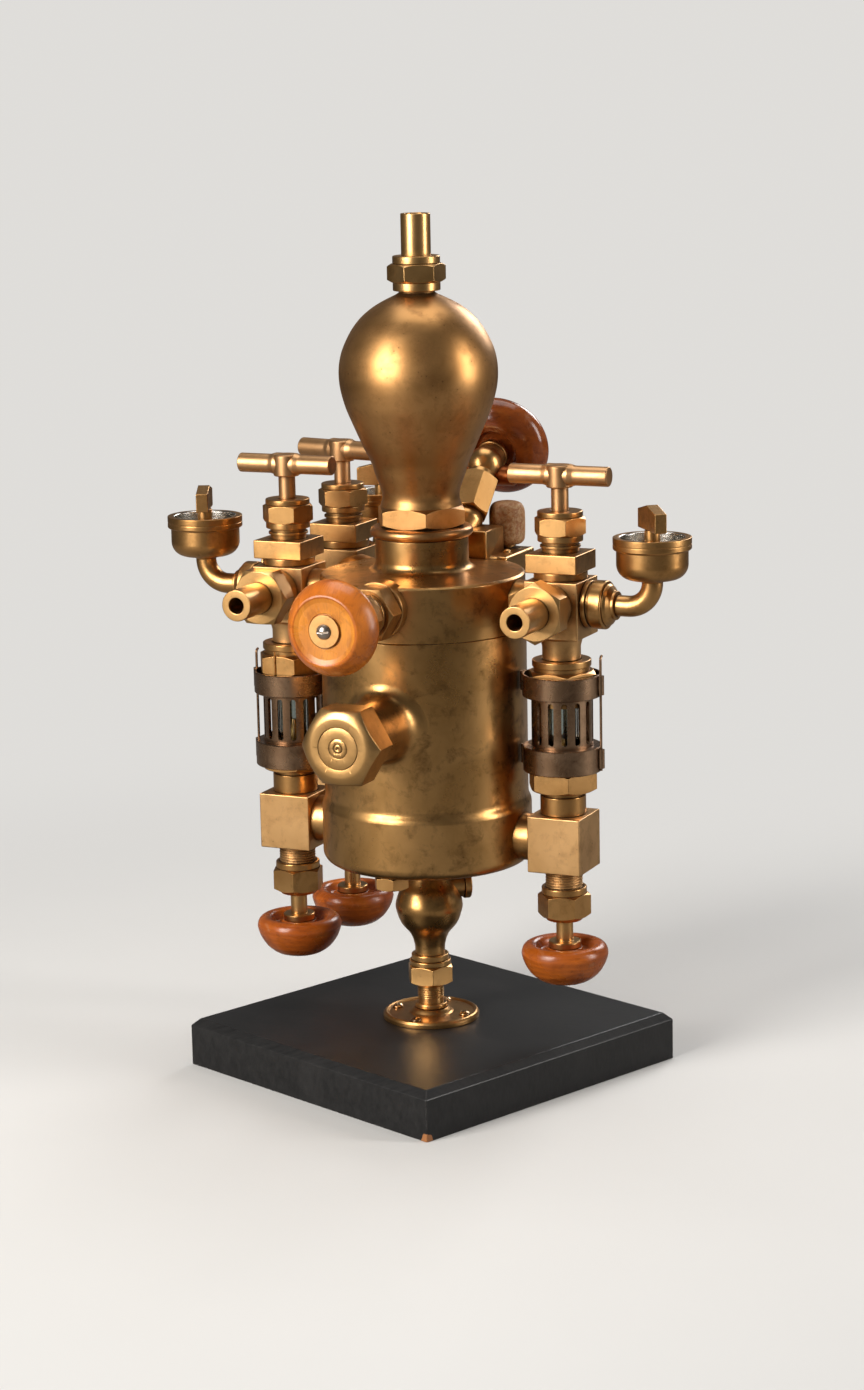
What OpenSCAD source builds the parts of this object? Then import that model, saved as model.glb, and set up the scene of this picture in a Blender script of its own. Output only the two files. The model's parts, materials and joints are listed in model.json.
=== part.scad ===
// Triple sight-feed steam-engine lubricator on a square display base.
// Millimetres. Origin: centre of the base block's underside, +Z up.
// The front (water valve and filler cap) faces -Y; feeds stand left (-X),
// right (+X) and at the rear left.

/* [Base] */
// Width of the square base block
base_w = 203.2; // [190:0.1:230]
// Thickness of the base block
base_t = 28.5; // [24:0.1:40]
// Chamfer along the top edges of the base block
base_chamfer = 4.2; // [2:0.1:8]
// Angle of the square base to the lubricator's front
base_turn = -22; // [-45:1:45]

/* [Stand] */
// Radius of the round floor flange
flange_r = 28.5; // [27:0.1:34]
// Radius of the circle the flange screws stand on
flange_pcr = 21.7; // [19:0.1:22.5]
// Radius of the flange screw heads
screw_head_r = 3.25; // [2.5:0.05:3.6]
// Outside radius of the stand nipple's tube
nipple_r = 7.5; // [6.5:0.1:9]
// Stand nipple hexagon across flats
nipple_af = 24.7; // [22:0.1:27]
// Widest radius of the pear-shaped leg
leg_r = 19.8; // [18:0.1:22]

/* [Reservoir] */
// Outside radius of the band round the reservoir's foot
band_r = 61.5; // [61:0.1:62.4]
// Outside radius of the reservoir wall
wall_r = 59.7; // [59:0.1:59.9]
// Thickness of the reservoir wall
wall_t = 3; // [2.5:0.1:4]
// Outside radius of the reservoir cap
cap_r = 59.5; // [59:0.1:60.5]
// Radius of the collar on the reservoir cap
collar_r = 27; // [25.5:0.1:27.5]
// Radius of the washer ring under the condenser
washer_r = 29.8; // [29:0.1:31]

/* [Filler] */
// Outside radius of the filler neck
filler_neck_r = 17.4; // [16.5:0.1:18.5]
// Filler cap hexagon across flats
filler_af = 42.2; // [40:0.1:44]
// Length of the filler cap's hexagon
filler_head = 21.2; // [18:0.1:24]
// Reach of the filler cap's face from the reservoir axis
filler_reach = 117.4; // [112:0.1:124]

/* [Condenser] */
// Widest radius of the condenser bulb
bulb_r = 45.6; // [43:0.1:48]
// Thickness of the condenser bulb's wall
bulb_wall = 3; // [2:0.1:4]
// Condenser foot hexagon across flats
bulb_af = 47.4; // [45:0.1:49]
// Outside radius of the steam pipe
steam_r = 8.5; // [7.6:0.1:9]
// Bore radius of the steam pipe
steam_bore_r = 6.1; // [5:0.1:7]
// Height of the steam pipe's open end above the table
steam_top = 501.8; // [490:0.1:520]
// Steam union nut across flats
steam_af = 29.3; // [27.5:0.1:31]

/* [Feeds] */
// Distance of the left and right feeds from the reservoir axis
feed_x = 86.2; // [86:0.1:90]
// Sideways place of the rear-left feed
rear_feed_x = -84.1; // [-87:0.1:-83]
// Place of the rear-left feed behind the reservoir axis
rear_feed_y = 70.1; // [69:0.1:73]
// Width of the square feed blocks
block_w = 32.4; // [31:0.1:33]
// Outside radius of the outlet pipes
outlet_r = 9.1; // [8.5:0.1:9.6]
// Bore radius of the outlet pipes
outlet_bore_r = 4.6; // [3:0.1:6]
// Reach of the left and right outlet pipes from the feed axis
outlet_len = 68.5; // [55:0.5:85]
// Reach of the rear outlet pipe from the feed axis
rear_outlet_len = 53; // [48:0.5:58]
// Outlet union nut across flats
outlet_af = 30.9; // [29:0.1:33]
// Radius of the valve spindles
spindle_r = 4.95; // [4.5:0.05:5.3]
// Length of the tee handle bars
tee_len = 60; // [50:0.2:68]
// Radius of the tee handle bars
tee_r = 5.65; // [4.5:0.05:6]
// Gland nut across flats
gland_af = 26.7; // [25.6:0.1:28.5]

/* [Sight glasses] */
// Outside radius of the sight glass
glass_r = 9.7; // [9:0.1:10]
// Wall of the sight glass
glass_wall = 2.2; // [1.5:0.1:3]
// Sight nut across flats
sight_af = 36.4; // [35:0.1:36.9]
// Outside radius of the guard's cups
guard_cup_r = 22.8; // [22.6:0.1:23.6]
// Number of slots round each guard
guard_slots = 14; // [10:1:16]
// Width of each guard slot
guard_slot_w = 3.4; // [2.5:0.1:4]
// How far down the left and rear guards are slid
guard_drop = 9; // [0:0.5:9]

/* [Oil cups] */
// Distance of the oil cup from the feed axis
cup_out = 55.4; // [54:0.1:60]
// Radius of the oil cup's ring
cup_ring_r = 22.2; // [21.4:0.1:23.5]
// Radius of the oil cup's bowl
cup_r = 20.3; // [19.5:0.1:20.8]

/* [Wheels] */
// Widest radius of the lower wooden wheels
wheel_r = 25.2; // [24:0.1:27]
// Widest radius of the front wooden wheel
front_wheel_r = 27; // [26:0.1:29]
// Widest radius of the rear wooden wheel
rear_wheel_r = 31; // [29:0.1:32]

/* [Hidden] */

$fn = 72;
run = 0.05;                 // radial running clearance of a spindle
tenon_r = 3.45;             // spindle end that a handle turns on
block_h = block_w/2;
feed_z_up = 280.6;          // middle of the upper feed block
port_z = 283;               // outlet and cup ports
low_port_z = 144;           // lower connector
B = [0, 94, 347];            // centre of the angle valve's ball
inlet_up = 46;              // rise of the angle valve's inlet, degrees
stem_up = 20;               // rise of the angle valve's spindle, degrees
knob_xy = [18, 84];         // axis of the vent knob
lug_out = 0.9;              // guard lug barrels beyond the cup

// heights are drawn for the default base and shift with its thickness
module lift() translate([0, 0, base_t - 28.6]) children();

// points along a circular arc, from angle a0 to a1
function arc(cx, cy, r, a0, a1, n = 6) =
  [for (i = [0:n]) let (a = a0 + (a1 - a0)*i/n) [cx + r*cos(a), cy + r*sin(a)]];

// smooth curve through points (Catmull-Rom), m steps to a span
function cr(p0, p1, p2, p3, t) = 0.5*(2*p1 + (p2 - p0)*t
  + (2*p0 - 5*p1 + 4*p2 - p3)*t*t + (3*p1 - p0 - 3*p2 + p3)*t*t*t);
function smooth(p, m = 4) = let (n = len(p)) concat(
  [for (i = [0:n - 2]) for (k = [0:m - 1])
    cr(p[max(i - 1, 0)], p[i], p[i + 1], p[min(i + 2, n - 1)], k/m)],
  [p[n - 1]]);

module rod(r, z0, z1) translate([0, 0, z0]) cylinder(r = r, h = z1 - z0);
module rev(p) rotate_extrude($fn = 96) polygon(p);
// hexagon prism with turned chamfers top and bottom, corners on X
module hexbar(af, z0, z1, lo = true, hi = true, k = 0.975) {
  rf = af/2*k;
  rc = af/2/cos(30) + 0.02;
  s = (rc - rf)*0.577;
  intersection() {
    translate([0, 0, z0]) cylinder(r = af/2/cos(30), h = z1 - z0, $fn = 6);
    rev([[0, z0], [lo ? rf : rc, z0], [rc, z0 + (lo ? s : 0.01)],
      [rc, z1 - (hi ? s : 0.01)], [hi ? rf : rc, z1], [0, z1]]);
  }
}
// turned collar with broken edges
module collar(r, z0, z1, c = 0.6)
  rev([[0, z0], [r - c, z0], [r, z0 + c], [r, z1 - c], [r - c, z1], [0, z1]]);
module box(x0, x1, y0, y1, z0, z1)
  translate([x0, y0, z0]) cube([x1 - x0, y1 - y0, z1 - z0]);
module front() rotate([90, 0, 0]) children();      // local +Z points to -Y
module out_x() rotate([0, 90, 0]) children();      // local +Z points to +X

// the three feeds: local +X points to the oil cup, local -Y to the outlet
module place_right() translate([feed_x, 0, 0]) children();
module place_left() translate([-feed_x, 0, 0]) mirror([1, 0, 0]) children();
module place_rear() translate([rear_feed_x, rear_feed_y, 0])
  rotate([0, 0, -90]) mirror([1, 0, 0]) children();
module each_feed() { place_left() children(); place_right() children();
  place_rear() children(); }

// ---------------------------------------------------------------- base
module base_block() color([0.05, 0.05, 0.055]) rotate([0, 0, base_turn]) {
  h = base_w/2; c = base_chamfer;
  difference() {
    intersection() {
      rotate([90, 0, 0]) translate([0, 0, -h - 1]) linear_extrude(base_w + 2)
        polygon([[-h, 0], [h, 0], [h, base_t - c], [h - c, base_t],
          [-h + c, base_t], [-h, base_t - c]]);
      rotate([90, 0, 90]) translate([0, 0, -h - 1]) linear_extrude(base_w + 2)
        polygon([[-h, 0], [h, 0], [h, base_t - c], [h - c, base_t],
          [-h + c, base_t], [-h, base_t - c]]);
    }
    for (a = [0:90:270]) rotate([0, 0, a - base_turn])
      translate([flange_pcr, 0, base_t - 12]) cylinder(r = 1.72, h = 13);
    // hollow under the nipple's end
    translate([0, 0, base_t - 3]) cylinder(r = 4, h = 4);
  }
}
module floor_flange() color([0.62, 0.45, 0.2]) lift() difference() {
  rev([[nipple_r + 0.02, 28.62], [flange_r - 0.5, 28.62], [flange_r, 29.2],
    [flange_r, 31], [flange_r - 0.8, 32.2], [flange_r - 1.8, 32.6],
    [flange_r - 2.8, 32.2], [flange_r - 3.4, 31.5], [13.2, 31.7],
    [12.2, 32.4], [11.2, 33.6], [10.2, 34.4], [nipple_r + 0.02, 34.6]]);
  for (a = [0:90:270]) rotate([0, 0, a]) translate([flange_pcr, 0, 28])
    cylinder(r = 1.8, h = 6);
}
module flange_screw() difference() {
  union() {
    rev(concat([[0, 31.72]], [[screw_head_r, 31.72], [screw_head_r, 32.4]],
      arc(0, 32.4 - 2.6, sqrt(screw_head_r*screw_head_r + 2.6*2.6),
        atan2(2.6, screw_head_r) + 4, 86, 7), [[0, 29.8 +
        sqrt(screw_head_r*screw_head_r + 2.6*2.6)]]));
    rod(1.7, 17.5, 31.9);
  }
  box(-5, 5, -0.45, 0.45, 33.1, 36);
}
module flange_screws() color([0.6, 0.46, 0.22]) lift()
  for (i = [0:3]) rotate([0, 0, 90*i]) translate([flange_pcr, 0, 0])
    rotate([0, 0, 20 + 47*i]) flange_screw();
module stand_nipple() color([0.66, 0.48, 0.22]) lift() difference() {
  union() {
    rod(nipple_r, 28.7, 50);
    collar(9.6, 34.7, 37.4);
    rev([[0, 47.6], [nipple_r, 47.6], [10.6, 50], [10.6, 50.4], [0, 50.4]]);
    hexbar(nipple_af, 50, 61);
    collar(12.3, 60.9, 64);
    collar(11.1, 63.9, 67.6);
    rod(5.5, 67, 78);
  }
  rod(3, 28, 79);
}
leg_pts = smooth([[8.8, 67.7], [8.8, 69.4], [9.3, 74.2], [11.5, 80.2],
  [16.4, 86.2], [leg_r - 0.9, 92.2], [leg_r, 98.2], [leg_r - 2.5, 106.2],
  [14.2, 111.2], [12.2, 116.2], [12, 121.2], [12.6, 126.4]], 3);
module leg_body() color([0.66, 0.49, 0.22]) lift() difference() {
  union() {
    rev(concat([[0, 67.7]], leg_pts, [[0, 126.4]]));
    // side boss for the drain plug, at the right rear
    rotate([0, 0, 38]) translate([0, 0, 108]) out_x() rod(7.6, 6, 20.5);
  }
  rod(5.52, 67, 78.2);
  rod(4, 78, 127);
  rotate([0, 0, 38]) translate([0, 0, 108]) out_x() rod(3.5, 0, 21);
}
module drain_plugs() color([0.6, 0.44, 0.2]) lift() {
  // hexagon plug under the reservoir
  translate([-2, -47, 0]) { hexbar(18.5, 119, 126.4); rod(6, 126.3, 129.5); }
  // round-headed plug of the leg's drain
  rotate([0, 0, 38]) translate([0, 0, 108]) out_x() {
    rod(3.45, 8, 21); collar(8.6, 20.6, 24.6); }
}

// ------------------------------------------------------------ reservoir
module port(z, a, r, x0, x1) rotate([0, 0, a]) translate([0, 0, z])
  out_x() rod(r, x0, x1);
rear_a = atan2(rear_feed_y, rear_feed_x);
fill_s = filler_reach - filler_head;   // seat of the filler cap
module reservoir_body() color([0.68, 0.5, 0.22]) lift() difference() {
  union() {
    rev(concat([[0, 126.5]], arc(band_r - 6.5, 133, 6.5, -90, 0, 8),
      [[band_r, 159.6]], smooth([[band_r, 160], [band_r - 0.4, 162],
      [wall_r + 0.3, 164.6], [wall_r, 167]], 2), [[wall_r, 264.4],
      [0, 264.4]]));
    // filler neck flares out of the wall
    translate([0, 0, 216]) front() rev(concat([[0, 48]], smooth([[24.8, 48],
      [24.3, 56], [22, 60.5], [19.4, 65], [filler_neck_r + 0.5, 71],
      [filler_neck_r, 78]], 3), [[filler_neck_r, fill_s - 1.1],
      [0, fill_s - 1.1]]));
  }
  rev([[0, 131], [52, 131], [wall_r - wall_t - 0.9, 134], [wall_r - wall_t, 138],
    [wall_r - wall_t, 265], [0, 265]]);
  translate([0, 0, 216]) front() rod(14, 40, fill_s);
  rod(4, 125, 132);
  translate([-2, -47, 0]) rod(6.02, 126, 132);
  port(low_port_z, 0, 5, 50, 70);
  port(low_port_z, 180, 5, 50, 70);
  port(low_port_z, rear_a, 5, 50, 70);
}
cap_top = concat([[cap_r - 1.2, 296.6]], [[collar_r + 8.5, 298.6]],
  arc(collar_r + 5.5, 304.3, 5.5, -95, -180, 7));
module cap_outer() rev(concat([[0, 264.5], [cap_r - 0.5, 264.5],
  [cap_r, 265], [cap_r, 295.4]], cap_top, [[collar_r, 316.6],
  [collar_r - 0.8, 317.4], [0, 317.4]]));
module reservoir_cap() color([0.68, 0.5, 0.23]) lift() difference() {
  union() {
    cap_outer();
    rod(wall_r - wall_t - 0.05, 257, 265);
  }
  rev([[0, 250], [53, 250], [53, 286], [49, 290.5], [16, 292.5],
    [0, 292.5]]);
  rod(14, 290, 318);
  for (a = [0, 180, rear_a]) port(port_z, a, 5, 40, 70);
  port(284, -90, 5, 40, 70);
  port(288, 90, 5, 40, 70);
}
module filler_gasket() color([0.35, 0.2, 0.12]) lift()
  translate([0, 0, 216]) front() difference() {
    rod(filler_neck_r - 0.6, fill_s - 1.05, fill_s - 0.05);
    rod(14.1, 80, 140); }
module filler_cap() color([0.7, 0.52, 0.25]) lift()
  translate([0, 0, 216]) front() {
    rc = filler_af/2/cos(30) + 0.02; e = filler_reach; s = fill_s;
    difference() {
      union() {
        intersection() {
          translate([0, 0, s]) cylinder(r = filler_af/2/cos(30),
            h = filler_head, $fn = 6);
          rev(concat([[0, s], [rc - 1.5, s], [rc, s + 1.4]],
            [[rc, e - 4.6], [rc - 1.7, e - 3.1], [rc - 3.8, e - 1.4],
            [rc - 6, e - 0.4], [rc - 8, e], [0, e]]));
        }
        rod(13.9, s - 17, s + 0.2);
      }
      // turned rings in the face
      difference() { rod(12.3, e - 0.7, e + 1); rod(11.7, e - 1, e + 1); }
      difference() { rod(5.9, e - 0.7, e + 1); rod(5.3, e - 1, e + 1); }
      difference() { rod(2.9, e - 0.6, e + 1); rod(2.5, e - 1, e + 1); }
      rod(0.8, e - 0.9, e + 1);
      rod(8, s - 18, s - 5);
    }
  }
module standpipe() color([0.66, 0.47, 0.22]) lift() difference() {
  union() { rod(6, 140, 322); collar(13.9, 306, 311.9); }
  rod(4.2, 139, 323);
}
module neck_washer() color([0.55, 0.3, 0.14]) lift() difference() {
  rev(concat([[0, 317.5]], arc(washer_r - 3.1, 320.6, 3.1, -90, 90, 10),
    [[0, 323.7]]));
  rod(15.3, 317, 324.5);
}

// ------------------------------------------------------------ condenser
bulb_pts = smooth([[23.6, 335.1], [23.2, 336.9], [22.4, 339.8],
  [22.6, 343.6], [24, 348], [25.8, 353], [28, 360], [31.8, 368],
  [35.3, 376], [38.7, 384], [41.9, 392], [bulb_r - 1.4, 400],
  [bulb_r - 0.3, 406], [bulb_r, 412], [bulb_r - 0.5, 418],
  [bulb_r - 1.9, 424], [bulb_r - 4.3, 430], [bulb_r - 7.5, 436],
  [bulb_r - 11.1, 441], [bulb_r - 14.9, 445], [bulb_r - 20, 449],
  [bulb_r - 25, 452], [bulb_r - 30, 454.5], [12.4, 456],
  [10.3, 457.3]], 2);
b_in = bulb_r - bulb_wall;
bulb_in = smooth([[19, 343.6], [20.9, 348], [22.8, 353], [25, 360],
  [28.8, 368], [32.3, 376], [35.6, 384], [38.7, 392], [b_in - 1.4, 400],
  [b_in - 0.3, 406], [b_in, 412], [b_in - 0.5, 418], [b_in - 2, 423.6],
  [b_in - 4.5, 429], [b_in - 7.8, 434.4], [b_in - 11.5, 439],
  [b_in - 15.5, 442.6], [b_in - 20.5, 446.2], [b_in - 25.5, 449],
  [b_in - 30.5, 451.3], [7.7, 452.5]], 1);
module condenser_bulb() color([0.62, 0.46, 0.22]) lift() difference() {
  union() {
    hexbar(bulb_af, 323.8, 335.4, k = 0.992);
    rev(concat([[0, 335]], bulb_pts, [[10.3, 463.6], [0, 463.6]]));
    rod(13.95, 312, 324);
  }
  rev(concat([[0, 343.6]], bulb_in, [[0, 452.4]]));
  rod(7.6, 311, 465);
}
module steam_union_nut() color([0.68, 0.5, 0.24]) lift() difference() {
  union() {
    collar(13.6, 458.3, 463.3);
    rotate([0, 0, 30]) hexbar(steam_af, 463.2, 473.6);
    collar(13.6, 473.5, 478.1);
  }
  rod(10.35, 457, 463.8);
  rod(steam_r - 0.38, 463.7, 479);
}
module steam_pipe() color([0.6, 0.46, 0.24]) lift() difference() {
  rev([[0, 463.9], [steam_r - 0.4, 463.9], [steam_r - 0.4, 478.3],
    [steam_r, 478.3], [steam_r, steam_top - 0.5],
    [steam_r - 0.5, steam_top], [0, steam_top]]);
  rod(steam_bore_r, 463, steam_top + 1);
}

// ---------------------------------------------------------- front valve
module cap_cut() rod(cap_r + 0.01, 250, 310);
module front_valve_body() color([0.68, 0.5, 0.23]) lift() difference() {
  translate([0, 0, 284]) front() {
    rod(16.4, 50, ft(66));
    hexbar(29, ft(65.8), ft(81));
    collar(12.5, ft(80.9), ft(84));
    rod(10.5, ft(83), ft(93));
  }
  cap_cut();
  translate([0, 0, 284]) front() rod(spindle_r + run, 45, 100);
}
module front_gland_nut() color([0.66, 0.48, 0.22]) lift()
  translate([0, 0, 284]) front() difference() {
    union() { collar(13, ft(86), ft(89.6)); hexbar(gland_af, ft(89.5),
      ft(100)); collar(13, ft(99.9), ft(103.3)); }
    rod(10.55, 70, ft(93.1));
    rod(spindle_r + run, 80, 110);
  }
module front_spindle() color([0.7, 0.54, 0.28]) lift()
  translate([0, 0, 284]) front() {
    rev([[0, ft(63.5)], [1.5, ft(63.5)], [spindle_r, ft(68)],
      [spindle_r, ft(109)], [8.2, ft(109.6)], [8.7, ft(110.2)],
      [8.7, ft(115.9)], [8.1, ft(116.7)], [tenon_r, ft(116.7)],
      [tenon_r, ft(127.4)], [0, ft(127.4)]]);
  }
fw = front_wheel_r;
// heights along the front valve's axis, from the reservoir cap outwards
function ft(t) = cap_r + (t - 61.5)*0.928;
module front_wheel() color([0.62, 0.25, 0.07]) lift()
  translate([0, 0, 284]) front() rev([for (p = concat(
    [[tenon_r + run, 116.85]],
    smooth([[12, 116.85], [fw - 9.2, 117.5], [fw - 4.4, 119],
    [fw - 1.4, 121], [fw, 124.2], [fw - 0.6, 128], [fw - 2.4, 132],
    [fw - 4.6, 135.2], [fw - 6.2, 137.2], [fw - 7, 137.9]], 3),
    [[fw - 7.9, 138.1], [fw - 8.7, 137.6], [16, 136.7], [9.6, 136.4],
    [2, 136.4], [2, 128], [tenon_r + run, 128]])) [p[0], ft(p[1])]]);
module front_wheel_screw() color([0.66, 0.5, 0.26]) lift()
  translate([0, 0, 284]) front() translate([0, 0, ft(136.45) - 136.45]) {
    difference() { collar(9.1, 136.5, 137.9, 0.3); rod(2, 136, 139); }
    difference() {
      union() {
        rev(concat([[0, 138], [4.2, 138], [4.2, 138.7]],
          arc(0, 136, sqrt(4.2*4.2 + 2.7*2.7), atan2(2.7, 4.2) + 4, 86, 6),
          [[0, 136 + sqrt(4.2*4.2 + 2.7*2.7)]]));
        rod(1.95, 129.5, 138.2);
      }
      rotate([0, 0, 62]) box(-6, 6, -0.55, 0.55, 139.6, 143);
    }
  }

// ----------------------------------------------------------- rear valves
module rounded_box(x0, x1, y0, y1, z0, z1, r) {
  box(x0 + r, x1 - r, y0, y1, z0, z1);
  box(x0, x1, y0 + r, y1 - r, z0, z1);
  for (x = [x0 + r, x1 - r]) for (y = [y0 + r, y1 - r])
    translate([x, y, z0]) cylinder(r = r, h = z1 - z0);
}
module inlet() translate(B) rotate([inlet_up - 90, 0, 0]) children();
module stem() translate(B) rotate([stem_up - 90, 0, 0]) children();
module rear_body() color([0.62, 0.46, 0.22]) lift() difference() {
  union() {
    rounded_box(-18, 20.8, 45, 72.8, 290, 314, 4);
    rounded_box(-18, 31.6, 50, 94, 284, 298.4, 4);
    translate([knob_xy[0], knob_xy[1], 0]) rod(9, 280, 298.5);
    translate([25, 67, 298]) sphere(r = 2.6);
  }
  difference() { rev(concat([[0, 250], [cap_r + 0.02, 250],
    [cap_r + 0.02, 295.5]], [for (p = cap_top) [p[0], p[1] + 0.02]],
    [[collar_r, 320], [0, 320]])); }
  translate([knob_xy[0], knob_xy[1], 0]) rod(3 + run, 283, 299);
  translate([0, 0, 288]) rotate([-90, 0, 0]) rod(4, 60, 80);
  translate([0, 70, 0]) rod(4, 288, 315);
}
module angle_valve_body() color([0.6, 0.46, 0.22]) lift() difference() {
  union() {
    difference() {
      inlet() rev(concat([[0, -54]], smooth([[7.5, -54], [7.5, -50],
        [8.6, -46], [9.6, -42.5], [9.2, -39.5], [8, -37], [7.6, -35]], 3),
        [[0, -35]]));
      box(-20, 20, 40, 110, 290, 314.02);
    }
    inlet() hexbar(20.5, -36.5, -11);
    inlet() rod(8, -12, 0);
    translate(B) sphere(r = 10.6);
    stem() { rod(8.6, 0, 11); collar(9.4, 10.9, 14.5); }
    translate(B + [0, 2, -7]) out_x() { rod(6.1, 0, 18.5);
      rod(5.2, 18.4, 19.2); }
  }
  stem() rod(4.15 + run, -3, 15);
  inlet() rod(4, -34, -2);
}
module angle_valve_spindle() color([0.7, 0.54, 0.28]) lift() stem()
  rev([[0, -1], [1.5, -1], [4.15, 3], [4.15, 17.4], [5.4, 17.4],
    [5.4, 18.9], [tenon_r, 18.9], [tenon_r, 31], [0, 31]]);
rw = rear_wheel_r;
module angle_valve_wheel() color([0.6, 0.24, 0.07]) lift() stem()
  rev(concat([[tenon_r + run, 19], [11, 19], [12.4, 18.2], [13.4, 15.5]],
    smooth([[15, 13.6], [18, 13.1], [rw - 9, 14], [rw - 4.6, 16.2],
    [rw - 1.4, 19.6], [rw, 24], [rw - 0.8, 28.4], [rw - 3.4, 32],
    [rw - 7.4, 34.4], [rw - 12, 35.2]], 3), [[12, 34.8], [8, 34.4],
    [0, 34.4], [0, 31.4], [tenon_r + run, 31.4]]));
module vent_spindle() color([0.7, 0.54, 0.28]) lift()
  translate([knob_xy[0], knob_xy[1], 0])
    rev([[0, 284], [1, 284], [3, 287], [3, 299.4], [5, 299.4], [5, 300.8],
      [2, 300.8], [2, 318], [0, 318]]);
module vent_knob() color([0.62, 0.3, 0.12]) lift()
  translate([knob_xy[0], knob_xy[1], 0])
    rev(concat([[2 + run, 301], [7.6, 301]], smooth([[8.6, 301.4],
      [10.2, 303.2], [10.7, 306], [10.8, 312], [10.7, 319.5],
      [10.2, 322.6], [8.8, 325], [6.6, 326.2], [3.5, 326.8]], 3),
      [[0, 326.9], [0, 318.3], [2 + run, 318.3]]));

// -------------------------------------------------------------- feeds
module feed_block_upper() difference() {
  union() {
    box(-block_h, block_h, -block_h, block_h, 264, 297);
    rod(11.1, 250.6, 264.1);
    rev([[0, 258], [11.1, 258], [12.2, 262.5], [14, 264.1], [0, 264.1]]);
    // necks for the outlet union and the cup union
    translate([0, 0, port_z]) front() rod(12.9, 15.5, 28);
    translate([0, 0, port_z]) out_x() rod(9, 15.5, 20.4);
  }
  rod(4, 250, 290);
  rod(spindle_r + run, 284, 298);
  translate([0, 0, port_z]) front() rod(outlet_bore_r, 0, 32);
  translate([0, 0, port_z]) out_x() rod(3.5, -17, 23);
}
module feed_blocks_upper() color([0.66, 0.49, 0.22]) lift()
  each_feed() feed_block_upper();
module bonnet() difference() {
  union() {
    collar(15.4, 297.05, 301.6);
    intersection() {
      box(-15.5, 15.5, -15.5, 15.5, 301.5, 312.3);
      rotate([0, 0, 45]) box(-20, 20, -20, 20, 301.4, 312.4);
    }
    rod(10.5, 312.2, 326);
  }
  rod(spindle_r + run, 296, 327);
}
module feed_bonnets() color([0.68, 0.5, 0.23]) lift() each_feed() bonnet();
module gland_nut_at(z0, z1, z2, z3, cav) difference() {
  union() { collar(13, z0, z1 + 0.1); hexbar(gland_af, z1, z2);
    collar(13, z2 - 0.1, z3); }
  rod(10.55, z0 - 1, cav);
  rod(spindle_r + run, cav - 0.1, z3 + 1);
}
module gland_nut_up(a)
  rotate([0, 0, a]) gland_nut_at(318.5, 322, 332.5, 335.8, 326.1);
module feed_gland_nuts() color([0.66, 0.48, 0.22]) lift() {
  place_right() gland_nut_up(3);
  place_left() gland_nut_up(50);
  place_rear() gland_nut_up(19);
}
module outlet_nut(a) translate([0, 0, port_z]) front() rotate([0, 0, a])
  difference() {
    hexbar(outlet_af, 28.05, 41);
    rod(outlet_r - 0.38, 27, 42);
  }
module outlet_union_nuts() color([0.68, 0.5, 0.24]) lift() {
  place_left() outlet_nut(0);
  place_right() outlet_nut(30);
  place_rear() outlet_nut(0);
}
module outlet_pipe(l) translate([0, 0, port_z]) front() difference() {
  rev([[0, 28.1], [outlet_r - 0.4, 28.1], [outlet_r - 0.4, 41.2],
    [outlet_r, 41.2], [outlet_r, l - 0.6],
    [outlet_r - 0.6, l], [0, l]]);
  rod(outlet_bore_r, 27, l + 1);
}
module outlet_pipes() color([0.62, 0.46, 0.22]) lift() {
  place_left() outlet_pipe(outlet_len);
  place_right() outlet_pipe(outlet_len);
  place_rear() outlet_pipe(rear_outlet_len);
}
module link(z, a, r, x1) rotate([0, 0, a]) translate([0, 0, z])
  out_x() difference() { rod(r, 45, x1); rod(5, 44, x1 + 1); }
module reservoir_connectors() color([0.66, 0.48, 0.21]) lift() {
  difference() {
    for (a = [0, 180]) link(port_z, a, 11.6, feed_x - block_h - 0.02);
    cap_cut();
  }
  difference() {
    link(port_z, rear_a, 11.6, norm([rear_feed_x, rear_feed_y]) - 10);
    cap_cut();
    box(rear_feed_x - block_h - 0.02, rear_feed_x + block_h + 0.02,
      rear_feed_y - block_h - 0.02, rear_feed_y + block_h + 0.02, 250, 310);
  }
  difference() {
    for (a = [0, 180]) link(low_port_z, a, 13.7,
      feed_x - block_h - 0.02);
    rod(band_r + 0.02, 120, 170);
  }
  difference() {
    link(low_port_z, rear_a, 13.7,
      norm([rear_feed_x, rear_feed_y]) - 10);
    rod(band_r + 0.02, 120, 170);
    box(rear_feed_x - block_h - 0.02, rear_feed_x + block_h + 0.02,
      rear_feed_y - block_h - 0.02, rear_feed_y + block_h + 0.02, 110, 180);
  }
}
// cup union: collar, ring nut and cone between the block and the elbow
module cup_union() translate([0, 0, port_z]) out_x() difference() {
  union() {
    collar(13.5, block_h + 0.05, 19.4);
    rev([[0, 19.3], [12.3, 19.3], [12.3, 20.8], [0, 20.8]]);
    collar(13.9, 20.7, 28.8, 0.9);
    rev([[0, 28.7], [12.5, 28.7], [11.2, 30.9], [8.3, 32.9], [8.3, 34.6],
      [0, 34.6]]);
  }
  rod(9.02, 15, 20.5);
  rod(6.02, 20, 36);
}
module cup_unions() color([0.6, 0.45, 0.2]) lift() each_feed() cup_union();
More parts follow.
